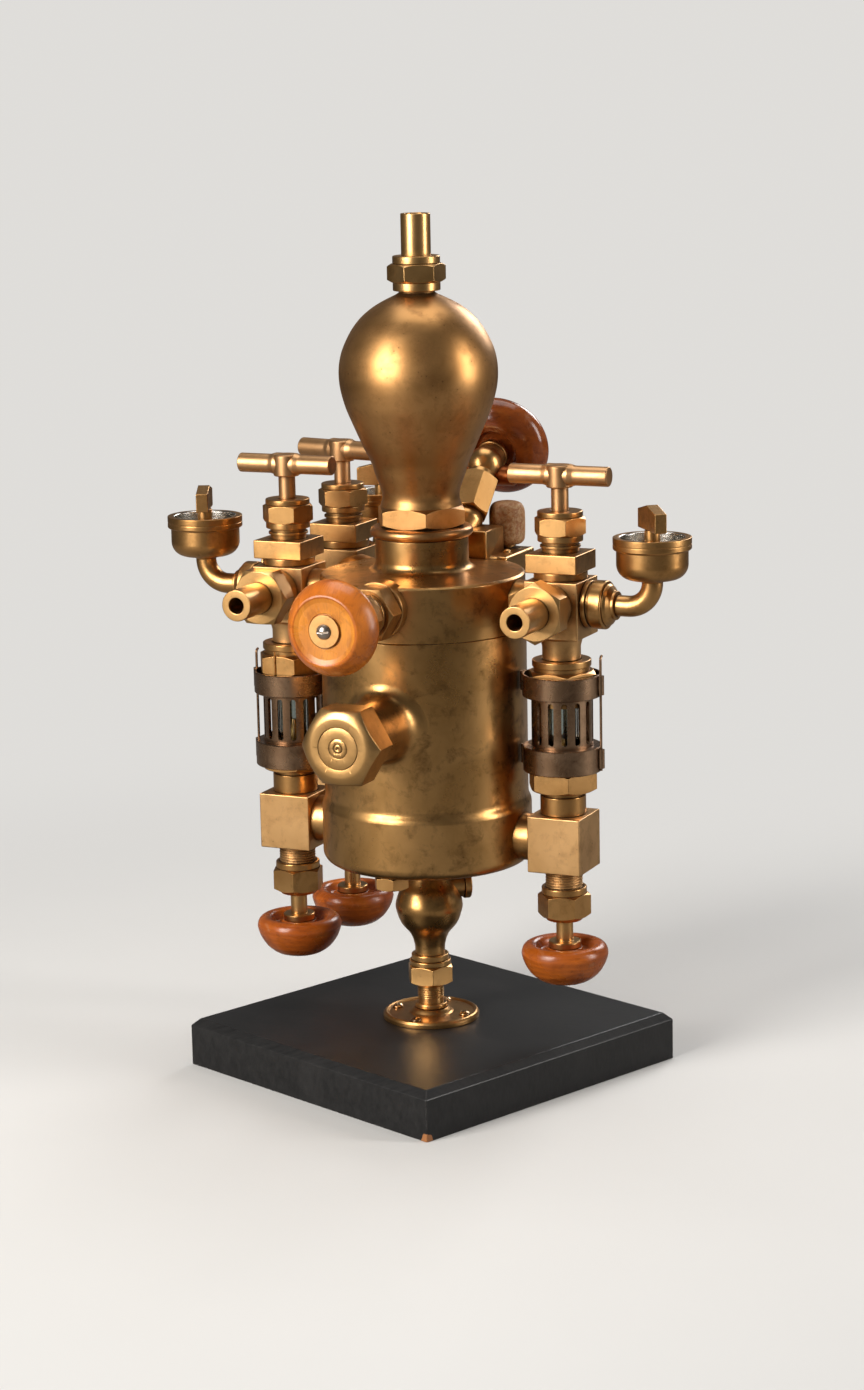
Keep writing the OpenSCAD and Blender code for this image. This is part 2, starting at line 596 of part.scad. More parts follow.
// elbow: a short level leg, a quarter bend and the riser under the cup
bend_r = 14;
module cup_elbow() {
  difference() {
    union() {
      translate([0, 0, port_z]) out_x() rod(6, 20.7, cup_out - bend_r);
      translate([cup_out, 0, 0]) rod(6, port_z + bend_r, 299.3);
      translate([cup_out - bend_r, 0, port_z + bend_r]) rotate([90, 0, 0])
        rotate([0, 0, -90]) rotate_extrude(angle = 90, $fn = 72)
          translate([bend_r, 0]) circle(r = 6);
    }
    translate([0, 0, port_z]) out_x() rod(3.4, 20, 30);
  }
}
module cup_elbows() color([0.64, 0.46, 0.2]) lift() each_feed() cup_elbow();
module oil_cup() translate([cup_out, 0, 2.3]) difference() {
  rev(concat([[0, 297.05], [6.4, 297.05]], arc(cup_r - 8.6, 305.6, 8.6, -78, 0, 7),
    [[cup_r, 313.6], [cup_ring_r - 0.5, 314], [cup_ring_r, 314.6],
    [cup_ring_r, 316.8], [cup_ring_r - 0.35, 317.2], [cup_ring_r, 317.6],
    [cup_ring_r, 320.4], [cup_ring_r - 0.6, 321], [0, 321]]));
  rev([[0, 300.5], [cup_r - 8, 300.5], [cup_r - 3.4, 304],
    [cup_r - 2, 308], [cup_r - 2, 322], [0, 322]]);
  rod(3, 296, 301);
}
module oil_cups() color([0.66, 0.48, 0.22]) lift() each_feed() oil_cup();
module cup_key(a) translate([cup_out, 0, 2.3]) rotate([0, 0, a]) {
  difference() {
    rod(2.95, 297.5, 330);
    rotate([90, 0, 0]) translate([0, 299.2, -4]) cylinder(r = 1, h = 8);
  }
  collar(5, 300.6, 303);
  rod(4.4, 302.9, 324.7);
  // thick wing with a gabled top
  rotate([90, 0, 0]) translate([0, 0, -3.5]) linear_extrude(7)
    polygon([[-15, 324.6], [15, 324.6], [15, 335.4], [0, 338.9],
      [-15, 335.4]]);
}
// ------------------------------------------------------- sight glasses
module sight_upper_nut() difference() {
  union() {
    collar(17, 246.5, 250.5);
    rod(16.1, 243.9, 246.6);
    hexbar(sight_af, 232, 244.1);
    rod(15.7, 224, 232.2);
  }
  rod(11.12, 246.5, 251);
  rod(4, 241, 251);
  rod(glass_r + 0.15, 228, 241.2);
  rod(12.7, 223, 229);
}
module sight_upper_nuts() color([0.64, 0.47, 0.2]) lift()
  each_feed() sight_upper_nut();
module sight_glasses() color([0.8, 0.9, 0.85, 0.4]) lift() each_feed()
  difference() { rod(glass_r, 179.6, 240.8);
    rod(glass_r - glass_wall, 179, 242); }
module sight_seals() color([0.12, 0.1, 0.09]) lift() each_feed()
  for (z = [[224.6, 228.9], [186.2, 190.4]]) difference() {
    rod(12.65, z[0], z[1]); rod(glass_r + 0.03, z[0] - 1, z[1] + 1); }
module drip_nozzles() color([0.7, 0.54, 0.28]) lift() each_feed()
  difference() {
    rev([[0, 172], [2.9, 172], [2.9, 179.2], [4.6, 179.2], [4.6, 186],
      [3, 187], [2.6, 197], [1.2, 203.5], [0, 203.5]]);
    rod(0.6, 171, 204);
  }
module sight_lower_nut() difference() {
  union() {
    rod(13.2, 160.05, 171);
    rod(11.7, 170.9, 174.1);
    hexbar(sight_af, 174, 186.2);
    rod(15.7, 186, 191);
  }
  rod(2.95, 159, 180);
  rod(glass_r + 0.15, 179.1, 187);
  rod(12.7, 186.1, 192);
}
module sight_lower_nuts() color([0.64, 0.47, 0.2]) lift()
  each_feed() sight_lower_nut();
module guard_lug(z) {
  // hinge barrel on a short web, outboard and inboard
  for (s = [1, -1]) difference() {
    union() {
      translate([s*(guard_cup_r + lug_out), 0, z])
        cylinder(r = 2, h = 11, center = true);
      box(min(s*(guard_cup_r - 1), s*(guard_cup_r + lug_out)),
        max(s*(guard_cup_r - 1), s*(guard_cup_r + lug_out)),
        -1.5, 1.5, z - 5.5, z + 5.5);
    }
    rod(guard_cup_r - 0.8, z - 7, z + 7);
    translate([s*(guard_cup_r + lug_out), 0, z])
      cylinder(r = 0.85, h = 12, center = true);
  }
}
module guard(drop) translate([0, 0, -drop]) {
  ci = guard_cup_r - 1.2;
  difference() {
    union() {
      rod(17.7, 199, 231);
      difference() { collar(guard_cup_r, 229.3, 242.2, 0.5);
        rod(ci, 230.9, 243); }
      difference() { collar(guard_cup_r, 185.7, 200.4, 0.5);
        rod(ci, 184, 198.8); }
      guard_lug(236.4);
      guard_lug(193.6);
    }
    rod(16.25, 184, 243);
    for (i = [0:guard_slots - 1]) rotate([0, 0, (i + 0.5)*360/guard_slots]) {
      w = guard_slot_w;
      box(10, 21, -w/2, w/2, 204.2, 225.6);
      for (z = [204.2, 225.6]) translate([10, 0, z]) out_x() rod(w/2, 0, 11);
    }
  }
  // wire pin through the outboard lugs, with its hooked top
  translate([guard_cup_r + lug_out, 0, 0]) {
    rod(0.75, 186.6, 251);
    translate([0, 2, 251]) rotate([0, -90, 0]) rotate([0, 0, 180])
      rotate_extrude(angle = 180, $fn = 36) translate([2, 0])
        circle(r = 0.75, $fn = 24);
  }
}
// ---------------------------------------------------------- lower feeds
module feed_block_lower() difference() {
  union() {
    box(-block_h, block_h, -block_h, block_h, 127, 160);
    rod(10.8, 108.2, 127.1);
  }
  rod(3.5, 140, 161);
  rod(spindle_r + run, 107, 146);
  translate([0, 0, low_port_z]) rotate([0, -90, 0]) rod(5, 0, 17);
}
module feed_block_rear_cut() difference() {
  union() {
    box(-block_h, block_h, -block_h, block_h, 127, 160);
    rod(10.8, 108.2, 127.1);
  }
  rod(3.5, 140, 161);
  rod(spindle_r + run, 107, 146);
}
module feed_blocks_lower() color([0.7, 0.51, 0.22]) lift() {
  place_left() feed_block_lower();
  place_right() feed_block_lower();
  place_rear() feed_block_rear_cut();
}
module lower_gland_nut() difference() {
  union() {
    collar(13.1, 112.5, 116.6);
    hexbar(gland_af + 0.3, 99, 112.6);
    rev([[0, 96.8], [10.4, 96.8], [12.4, 99.1], [0, 99.1]]);
  }
  rod(10.85, 108, 117);
  rod(spindle_r + run, 96, 109);
}
module lower_gland_nuts() color([0.66, 0.48, 0.21]) lift() each_feed()
  rotate([0, 0, 15]) lower_gland_nut();

// ------------------------------------------------- handles and spindles
module tee_handle() difference() {
  union() {
    rev([[0, 349], [7.1, 349], [7.7, 349.6], [7.7, 360.9], [7, 361.7],
      [4, 362.1], [0, 362.2]]);
    translate([0, 0, 355.9]) out_x()
      rev([[0, -tee_len/2], [tee_r - 0.5, -tee_len/2],
        [tee_r, -tee_len/2 + 0.5], [tee_r, tee_len/2 - 0.5],
        [tee_r - 0.5, tee_len/2], [0, tee_len/2]]);
  }
  rod(tenon_r + run, 348, 359);
}
module tee_spindle() rev([[0, 287], [1.5, 287], [spindle_r, 291],
  [spindle_r, 348.9], [tenon_r, 348.9], [tenon_r, 358.6], [0, 358.6]]);
module feed_spindle() rev([[0, 66.4], [tenon_r, 66.4], [tenon_r, 80.1],
  [9, 80.1], [9.4, 80.5], [9.4, 83.5], [8.9, 84], [spindle_r, 84],
  [spindle_r, 138], [1.2, 143], [0, 143]]);
wr = wheel_r;
module feed_wheel() rev(concat([[0, 60], [12.5, 60]],
  smooth([[14, 60.6], [wr - 8.6, 62.2], [wr - 5.4, 65], [wr - 3.2, 68],
  [wr - 1.5, 71.2], [wr - 0.2, 75], [wr, 77.4], [wr - 0.9, 80.2],
  [wr - 3, 82], [wr - 5.6, 82.4], [wr - 8, 81.4], [wr - 9.6, 79]], 3),
  [[14.6, 77.6], [11, 77.6], [10.2, 80], [tenon_r + run, 80],
  [tenon_r + run, 66.2], [0, 66.2]]));
wood = [0.62, 0.24, 0.06];
brass = [0.7, 0.54, 0.28];
module left_tee_handle() color(brass) lift() place_left() tee_handle();
module right_tee_handle() color(brass) lift() place_right() tee_handle();
module rear_tee_handle() color(brass) lift()
  translate([rear_feed_x, rear_feed_y, 0]) rotate([0, 0, -12]) tee_handle();
module left_tee_spindle() color(brass) lift() place_left() tee_spindle();
module right_tee_spindle() color(brass) lift() place_right() tee_spindle();
module rear_tee_spindle() color(brass) lift() place_rear() tee_spindle();
module left_feed_wheel() color(wood) lift() place_left() feed_wheel();
module right_feed_wheel() color(wood) lift() place_right() feed_wheel();
module rear_feed_wheel() color(wood) lift() place_rear() feed_wheel();
module left_feed_spindle() color(brass) lift() place_left() feed_spindle();
module right_feed_spindle() color(brass) lift() place_right() feed_spindle();
module rear_feed_spindle() color(brass) lift() place_rear() feed_spindle();
module left_cup_key() color(brass) lift() place_left() cup_key(67.5);
module right_cup_key() color(brass) lift() place_right() cup_key(-50.7);
module rear_cup_key() color(brass) lift() place_rear() cup_key(75);
bronze = [0.4, 0.31, 0.18];
module left_guard() color(bronze) lift() place_left() guard(guard_drop);
module right_guard() color(bronze) lift() place_right() guard(0);
module rear_guard() color(bronze) lift() place_rear() guard(guard_drop);

base_block();
floor_flange();
flange_screws();
stand_nipple();
leg_body();
drain_plugs();
reservoir_body();
reservoir_cap();
filler_gasket();
filler_cap();
standpipe();
neck_washer();
condenser_bulb();
steam_union_nut();
steam_pipe();
front_valve_body();
front_gland_nut();
front_spindle();
front_wheel();
front_wheel_screw();
rear_body();
angle_valve_body();
angle_valve_spindle();
angle_valve_wheel();
vent_spindle();
vent_knob();
feed_blocks_upper();
feed_bonnets();
feed_gland_nuts();
outlet_union_nuts();
outlet_pipes();
reservoir_connectors();
cup_unions();
cup_elbows();
oil_cups();
sight_upper_nuts();
sight_glasses();
sight_seals();
drip_nozzles();
sight_lower_nuts();
feed_blocks_lower();
lower_gland_nuts();
left_tee_handle();
right_tee_handle();
rear_tee_handle();
left_tee_spindle();
right_tee_spindle();
rear_tee_spindle();
left_feed_wheel();
right_feed_wheel();
rear_feed_wheel();
left_feed_spindle();
right_feed_spindle();
rear_feed_spindle();
left_cup_key();
right_cup_key();
rear_cup_key();
left_guard();
right_guard();
rear_guard();
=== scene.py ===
import json
import math

import bmesh
import bpy
import numpy as np
from mathutils import Matrix, Vector


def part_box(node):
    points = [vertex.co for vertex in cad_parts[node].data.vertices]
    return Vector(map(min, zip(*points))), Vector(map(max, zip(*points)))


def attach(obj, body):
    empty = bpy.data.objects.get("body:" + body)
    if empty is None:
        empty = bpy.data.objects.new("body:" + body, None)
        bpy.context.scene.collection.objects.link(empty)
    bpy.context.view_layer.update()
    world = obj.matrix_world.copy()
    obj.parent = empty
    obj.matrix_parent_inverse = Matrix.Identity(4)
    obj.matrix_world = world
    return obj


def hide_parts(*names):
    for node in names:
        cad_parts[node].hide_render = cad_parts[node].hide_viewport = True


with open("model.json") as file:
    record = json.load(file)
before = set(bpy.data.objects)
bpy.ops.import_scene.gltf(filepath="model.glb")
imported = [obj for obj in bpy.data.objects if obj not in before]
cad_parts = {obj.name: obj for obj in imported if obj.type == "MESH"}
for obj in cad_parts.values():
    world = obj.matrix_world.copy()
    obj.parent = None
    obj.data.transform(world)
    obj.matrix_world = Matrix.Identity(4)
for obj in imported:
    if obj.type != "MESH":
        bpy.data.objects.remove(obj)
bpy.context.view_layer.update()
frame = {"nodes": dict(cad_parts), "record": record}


REC = frame["record"]
NODES = frame["nodes"]
BODY = {n: b for b, ns in REC["behaviour"]["bodies"].items() for n in ns}
JPOS = {j["name"]: [c * 1000 for c in j["pos_m"]] for j in REC["behaviour"]["joints"] if j.get("pos_m")}
SLOT = {}
for s in REC.get("subparts", []):
    SLOT[s.get("node")] = s.get("material_slot")
PI = math.pi


def bx(n):
    lo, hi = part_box(n)
    return [c * 1000 for c in lo], [c * 1000 for c in hi]


# ------------------------------------------------------------------ sizes
# All lengths in millimetres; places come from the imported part.
LIFT = bx("base_block")[1][2] - 28.6
fx = JPOS["right_steam_valve_turn"][0]
rx, ry = JPOS["rear_steam_valve_turn"][:2]
cup_out = JPOS["right_cup_turn"][0] - fx
cap_r = 59.5
wall_r, wall_t, band_r = 59.7, 3.0, 61.5
collar_r, washer_r = 27.0, 29.8
bulb_r, bulb_af = 45.6, 47.4
steam_r, steam_bore_r = 8.5, 6.1
steam_top = bx("steam_pipe")[1][2] - LIFT
steam_af = 29.3
block_h = 16.2
outlet_r, outlet_bore, outlet_af = 9.1, 4.6, 30.9
outlet_len = -bx("outlet_pipes")[0][1]
rear_outlet_len = 53.0
spindle_r, tee_len, tee_r = 4.95, 60.0, 5.65
gland_af, sight_af = 26.7, 36.4
glass_r, glass_wall = 9.7, 2.2
cup_ring_r, cup_r = 22.2, 20.3
fw, rw, wr = 27.0, 31.0, 25.2
filler_neck_r, filler_af = 17.4, 42.2
filler_reach = -bx("filler_cap")[0][1]
fill_s = filler_reach - 21.2
port_z, low_port_z = 283.0, 144.0
flange_r, flange_pcr = 28.5, 21.7
tenon_r, run = 3.45, 0.05
RND = np.random.RandomState(11)


# ------------------------------------------------------------ matrices
def T(x=0, y=0, z=0):
    return np.array([[1, 0, 0, x], [0, 1, 0, y], [0, 0, 1, z], [0, 0, 0, 1]], float)


def R(axis, deg):
    c, s = math.cos(math.radians(deg)), math.sin(math.radians(deg))
    m = np.eye(4)
    i, j = {"x": (1, 2), "y": (2, 0), "z": (0, 1)}[axis]
    m[i, i] = c
    m[i, j] = -s
    m[j, i] = s
    m[j, j] = c
    return m


def S(x, y, z):
    return np.diag([x, y, z, 1.0])


I4 = np.eye(4)
UP = T(0, 0, LIFT)
FRONT = R("x", 90)   # local +Z points to -Y
OUT = R("y", 90)     # local +Z points to +X
PLACE = {
    "right": UP @ T(fx),
    "left": UP @ T(-fx) @ S(-1, 1, 1),
    "rear": UP @ T(rx, ry) @ R("z", -90) @ S(-1, 1, 1),
}
SIDES = ("left", "right", "rear")


# --------------------------------------------------------------- profiles
def arc(cx, cy, r, a0, a1, n=8):
    return [(cx + r * math.cos(math.radians(a0 + (a1 - a0) * i / n)),
             cy + r * math.sin(math.radians(a0 + (a1 - a0) * i / n))) for i in range(n + 1)]


def smooth(p, m=8):
    out = []
    n = len(p)
    for i in range(n - 1):
        p0, p1, p2, p3 = p[max(i - 1, 0)], p[i], p[i + 1], p[min(i + 2, n - 1)]
        for k in range(m):
            t = k / m
            out.append(tuple(0.5 * (2 * b + (c - a) * t + (2 * a - 5 * b + 4 * c - d) * t * t
                             + (3 * b - a - 3 * c + d) * t ** 3) for a, b, c, d in zip(p0, p1, p2, p3)))
    out.append(tuple(p[-1]))
    return out


def fillet(p, rad=0.35, closed=False, n=3, thr=14):
    """Rounds every corner of a profile sharper than thr degrees."""
    q = []
    for a in p:
        if not q or math.hypot(a[0] - q[-1][0], a[1] - q[-1][1]) > 1e-5:
            q.append(a)
    if closed and math.hypot(q[0][0] - q[-1][0], q[0][1] - q[-1][1]) < 1e-5:
        q.pop()
    out, k = [], len(q)
    for i, (x, y) in enumerate(q):
        if not closed and i in (0, k - 1):
            out.append((x, y))
            continue
        a, b = q[i - 1], q[(i + 1) % k]
        l1, l2 = math.hypot(x - a[0], y - a[1]), math.hypot(b[0] - x, b[1] - y)
        u1, u2 = ((x - a[0]) / l1, (y - a[1]) / l1), ((b[0] - x) / l2, (b[1] - y) / l2)
        ang = math.acos(max(-1, min(1, u1[0] * u2[0] + u1[1] * u2[1])))
        if ang < math.radians(thr):
            out.append((x, y))
            continue
        t = min(math.tan(ang / 2) * rad, 0.45 * l1, 0.45 * l2)
        side = 1 if u1[0] * u2[1] - u1[1] * u2[0] > 0 else -1
        r = t / math.tan(ang / 2)
        ax, ay = x - u1[0] * t, y - u1[1] * t
        cx, cy = ax - side * u1[1] * r, ay + side * u1[0] * r
        a0 = math.atan2(ay - cy, ax - cx)
        for s in range(n + 1):
            w = a0 + side * ang * s / n
            out.append((cx + r * math.cos(w), cy + r * math.sin(w)))
    return out


# ------------------------------------------------------------- mesh pieces
class Geo:
    """Closed shells gathered into one mesh; turn holds the distance along the lathe profile."""

    def __init__(self):
        self.v, self.f, self.t, self.m, self.n = [], [], [], [], 0

    def add(self, v, faces, M=I4, turn=None, mat=0):
        v = np.asarray(v, float).reshape(-1, 3)
        v = v @ M[:3, :3].T + M[:3, 3]
        flip = np.linalg.det(M[:3, :3]) < 0
        off = self.n
        for f in faces:
            g = [i + off for i in f]
            self.f.append(g[::-1] if flip else g)
        self.m += mat if isinstance(mat, list) else [mat] * len(faces)
        self.v.append(v)
        self.t.append(np.full(len(v), -50.0) if turn is None else np.asarray(turn, float))
        self.n += len(v)
        return self

    def grid(self, rows, th, M=I4, loop=False, mat=0, matfn=None):
        """rows[j][i] = (r, z) at angle th[j]; a closed shell."""
        rows = np.asarray(rows, float)
        J, K = rows.shape[:2]
        c, s = np.cos(th), np.sin(th)
        d = np.hypot(*(np.diff(rows[0], axis=0).T))
        tt = np.concatenate([[0], np.cumsum(d)])
        p0 = not loop and abs(rows[:, 0, 0]).max() < 1e-6
        p1 = not loop and abs(rows[:, -1, 0]).max() < 1e-6
        i0, i1 = (1 if p0 else 0), (K - 1 if p1 else K)
        n = i1 - i0
        v = np.zeros((J, n, 3))
        v[:, :, 0] = rows[:, i0:i1, 0] * c[:, None]
        v[:, :, 1] = rows[:, i0:i1, 0] * s[:, None]
        v[:, :, 2] = rows[:, i0:i1, 1]
        v = v.reshape(-1, 3)
        turn = list(np.tile(tt[i0:i1], J))
        faces, mats = [], []
        last = n if loop else n - 1
        for j in range(J):
            k = (j + 1) % J
            for i in range(last):
                h = (i + 1) % n
                faces.append([j * n + i, k * n + i, k * n + h, j * n + h])
                mats.append(matfn(i + i0) if matfn else mat)
        extra = []
        if p0:
            extra.append((0, 0, rows[0, 0, 1]))
            turn.append(0)
            for j in range(J):
                faces.append([J * n, ((j + 1) % J) * n, j * n])
                mats.append(matfn(0) if matfn else mat)
        if p1:
            q = J * n + len(extra)
            extra.append((0, 0, rows[0, -1, 1]))
            turn.append(tt[-1])
            for j in range(J):
                faces.append([q, j * n + n - 1, ((j + 1) % J) * n + n - 1])
                mats.append(matfn(K - 1) if matfn else mat)
        if not loop and not p0:
            faces.append([j * n for j in range(J)])
            mats.append(mat)
        if not loop and not p1:
            faces.append([j * n + n - 1 for j in range(J)][::-1])
            mats.append(mat)
        if extra:
            v = np.vstack([v, extra])
        return self.add(v, faces, M, turn, mats)

    def lathe(self, p, M=I4, seg=96, loop=False, fil=0.35, n=3, mat=0, wob=0.0, seed=0, matfn=None):
        q = fillet(p, fil, loop, n) if fil else list(p)
        th = np.arange(seg) * 2 * PI / seg
        rows = np.tile(np.array(q, float)[None], (seg, 1, 1))
        if wob:
            g = np.random.RandomState(seed)
            z = rows[:, :, 1]
            w = np.zeros_like(z)
            for _ in range(9):
                k, m, a, b = g.randint(1, 7), g.uniform(0.03, 0.35), g.uniform(0, 6.28), g.uniform(0.3, 1)
                w += b * np.sin(k * th[:, None] + m * z + a)
            rows[:, :, 0] += wob * w / 3 * (rows[:, :, 0] > 3)
        return self.grid(rows, th, M, loop, mat, matfn)

    def ring(self, r0, r1, z0, z1, M=I4, seg=72, fil=0.3):
        return self.lathe([(r0, z0), (r1, z0), (r1, z1), (r0, z1)], M, seg, True, fil)

    def rod(self, r, z0, z1, M=I4, seg=64, fil=0.3):
        return self.lathe([(0, z0), (r, z0), (r, z1), (0, z1)], M, seg, False, fil)

    def nut(self, af, z0, z1, M=I4, rot=0, lo=True, hi=True, bore=0, edge=0.3, per=8, k=0.984, fil=0.25):
        """Hexagon with turned chamfers, corners on the rotated X."""
        rc, rf = af / 2 / math.cos(PI / 6), af / 2 * k
        cn = [(rc * math.cos(i * PI / 3), rc * math.sin(i * PI / 3)) for i in range(6)]
        e = fillet(cn, edge, True, 3)
        out = []
        for i, a in enumerate(e):
            b = e[(i + 1) % len(e)]
            m = per if math.hypot(b[0] - a[0], b[1] - a[1]) > 1.5 else 1
            for s in range(m):
                out.append((a[0] + (b[0] - a[0]) * s / m, a[1] + (b[1] - a[1]) * s / m))
        th = np.array([math.atan2(y, x) for x, y in out]) + math.radians(rot)
        rows = []
        for x, y in out:
            r = math.hypot(x, y)
            d = 0.577 * (r - rf)
            p = [(bore, z0)]
            p += [(rf, z0), (r, z0 + d)] if lo else [(r, z0)]
            p += [(r, z1 - d), (rf, z1)] if hi else [(r, z1)]
            p += [(bore, z1)]
            rows.append(fillet(p, fil, bore > 0, 2))
        return self.grid(rows, th, M, bore > 0)

    def thread(self, r, z0, z1, M=I4, pitch=1.5, depth=0.7, seg=64, core=0):
        """Screwed rod: a real helical ridge, faded out at its two ends."""
        n = int((z1 - z0) / pitch * 8)
        th = np.arange(seg) * 2 * PI / seg
        z = np.linspace(z0, z1, n + 1)
        ph = (z[None, :] / pitch - th[:, None] / (2 * PI)) % 1.0
        tri = 1 - np.abs(ph * 2 - 1)
        tri = np.clip(tri * 1.5 - 0.2, 0, 1)
        fade = np.clip(np.minimum(z - z0, z1 - z) / pitch, 0, 1)[None, :]
        rr = r - depth * (1 - tri * fade)
        rows = np.zeros((seg, n + 3, 2))
        rows[:, 1:-1, 0] = rr
        rows[:, 1:-1, 1] = z[None]
        rows[:, 0, 1] = z0
        rows[:, -1, 1] = z1
        return self.grid(rows, th, M)

    def tube(self, path, r, M=I4, seg=48):
        """Round bar along a path in the local XZ plane."""
        path = np.array(path, float)
        d = np.gradient(path, axis=0)
        d /= np.linalg.norm(d, axis=1)[:, None]
        side = np.array([0, 1.0, 0])
        v = []
        for p, t in zip(path, d):
            nrm = np.cross(side, t)
            for j in range(seg):
                a = 2 * PI * j / seg
                v.append(p + r * (math.cos(a) * nrm + math.sin(a) * side))
        n = len(path)
        f = []
        for i in range(n - 1):
            for j in range(seg):
                k = (j + 1) % seg
                f.append([i * seg + j, i * seg + k, (i + 1) * seg + k, (i + 1) * seg + j])
        f.append(list(range(seg))[::-1])
        f.append([(n - 1) * seg + j for j in range(seg)])
        return self.add(v, f, M)

    def bm(self, b, M=I4, mat=0):
        b.verts.ensure_lookup_table()
        b.verts.index_update()
        v = [list(x.co) for x in b.verts]
        f = [[x.index for x in y.verts] for y in b.faces]
        b.free()
        return self.add(v, f, M, None, mat)

    def box(self, x0, x1, y0, y1, z0, z1, M=I4, bev=0.5, seg=3, mat=0):
        b = bmesh.new()
        bmesh.ops.create_cube(b, size=1)
        for v in b.verts:
            v.co = Vector(((x0 + x1) / 2 + v.co.x * (x1 - x0), (y0 + y1) / 2 + v.co.y * (y1 - y0),
                           (z0 + z1) / 2 + v.co.z * (z1 - z0)))
        if bev:
            bmesh.ops.bevel(b, geom=b.edges[:], offset=bev, segments=seg, profile=0.5, affect="EDGES")
        return self.bm(b, M, mat)

    def prism(self, poly, y0, y1, M=I4, bev=0.4, seg=3):
        """Polygon in local XZ pushed along Y, all edges rounded."""
        b = bmesh.new()
        lo = [b.verts.new((x, y0, z)) for x, z in poly]
        hi = [b.verts.new((x, y1, z)) for x, z in poly]
        b.faces.new(lo)
        b.faces.new(hi[::-1])
        for i in range(len(poly)):
            k = (i + 1) % len(poly)
            b.faces.new([lo[k], lo[i], hi[i], hi[k]])
        bmesh.ops.recalc_face_normals(b, faces=b.faces[:])
        if bev:
            bmesh.ops.bevel(b, geom=b.edges[:], offset=bev, segments=seg, profile=0.5, affect="EDGES")
        return self.bm(b, M)

    def mesh(self, name):
        me = bpy.data.meshes.new(name)
        v = np.vstack(self.v) * 0.001
        me.from_pydata(v.tolist(), [], self.f)
        me.validate()
        b = bmesh.new()
        b.from_mesh(me)
        bmesh.ops.recalc_face_normals(b, faces=b.faces[:])
        b.to_mesh(me)
        b.free()
        me.polygons.foreach_set("use_smooth", [True] * len(me.polygons))
        if len(me.polygons) == len(self.m):
            me.polygons.foreach_set("material_index", self.m)
        a = me.attributes.new("turn", "FLOAT", "POINT")
        a.data.foreach_set("value", np.concatenate(self.t).astype(np.float32))
        me.update()
        return me


def boolean(geo, cutter, name):
    """geo minus cutter, as a mesh."""
    a = bpy.data.objects.new(name + "_a", geo.mesh(name + "_a"))
    b = bpy.data.objects.new(name + "_b", cutter.mesh(name + "_b"))
    for o in (a, b):
        bpy.context.scene.collection.objects.link(o)
    m = a.modifiers.new("cut", "BOOLEAN")
    m.object = b
    m.operation = "DIFFERENCE"
    m.solver = "EXACT"
    m.use_self = True
    bpy.context.view_layer.update()
    me = bpy.data.meshes.new_from_object(a.evaluated_get(bpy.context.evaluated_depsgraph_get()))
    me.name = name
    for o in (a, b):
        bpy.data.objects.remove(o)
    return me


def join_mesh(geo, me):
    """Adds an evaluated mesh (already in metres) to geo."""
    v = np.array([x.co for x in me.vertices], float) * 1000
    f = [list(p.vertices) for p in me.polygons]
    t = None
    if "turn" in me.attributes:
        t = np.zeros(len(me.vertices), np.float32)
        me.attributes["turn"].data.foreach_get("value", t)
    return geo.add(v, f, I4, t)


# ---------------------------------------------------------------- materials
class Tree:
    def __init__(self, name):
        self.mat = bpy.data.materials.new(name)
        self.mat.use_nodes = True
        self.t = self.mat.node_tree
        self.t.nodes.clear()

    def n(self, kind, props=None, **inp):
        node = self.t.nodes.new(kind)
        for k, v in (props or {}).items():
            setattr(node, k, v)
        for k, v in inp.items():
            s = node.inputs[int(k[1:])] if k[0] == "i" and k[1:].isdigit() else node.inputs[k.replace("_", " ")]
            if hasattr(v, "is_output"):
                self.t.links.new(v, s)
            else:
                s.default_value = v
        return node

    def noise(self, vec, scale, detail=4.0, rough=0.55, dist=0.0):
        return self.n("ShaderNodeTexNoise", None, Vector=vec, Scale=scale, Detail=detail, Roughness=rough,
                      Distortion=dist).outputs[0]

    def ramp(self, fac, stops):
        node = self.n("ShaderNodeValToRGB", None, Fac=fac)
        e = node.color_ramp.elements
        while len(e) > 1:
            e.remove(e[-1])
        e[0].position = stops[0][0]
        e[0].color = self.col(stops[0][1])
        for p, c in stops[1:]:
            k = e.new(p)
            k.color = self.col(c)
        return node.outputs[0]

    @staticmethod
    def col(c):
        if isinstance(c, (int, float)):
            return (c, c, c, 1)
        return (c[0], c[1], c[2], 1)

    def mix(self, fac, a, b, mode="MIX"):
        a = a if hasattr(a, "is_output") else self.col(a)
        b = b if hasattr(b, "is_output") else self.col(b)
        return self.n("ShaderNodeMixRGB", {"blend_type": mode}, Fac=fac, Color1=a, Color2=b).outputs[0]

    def math(self, op, a, b=0.0, c=0.0, clamp=False):
        return self.n("ShaderNodeMath", {"operation": op, "use_clamp": clamp}, i0=a, i1=b, i2=c).outputs[0]

    def coords(self, seed=0.0, scale=(1, 1, 1), rot=(0, 0, 0)):
        tc = self.n("ShaderNodeTexCoord").outputs["Object"]
        return self.n("ShaderNodeMapping", None, Vector=tc, Location=(seed, seed * 1.7, seed * 0.6),
                      Rotation=rot, Scale=scale).outputs[0]

    def out(self, bsdf):
        o = self.n("ShaderNodeOutputMaterial")
        self.t.links.new(bsdf.outputs[0], o.inputs["Surface"])
        return self.mat


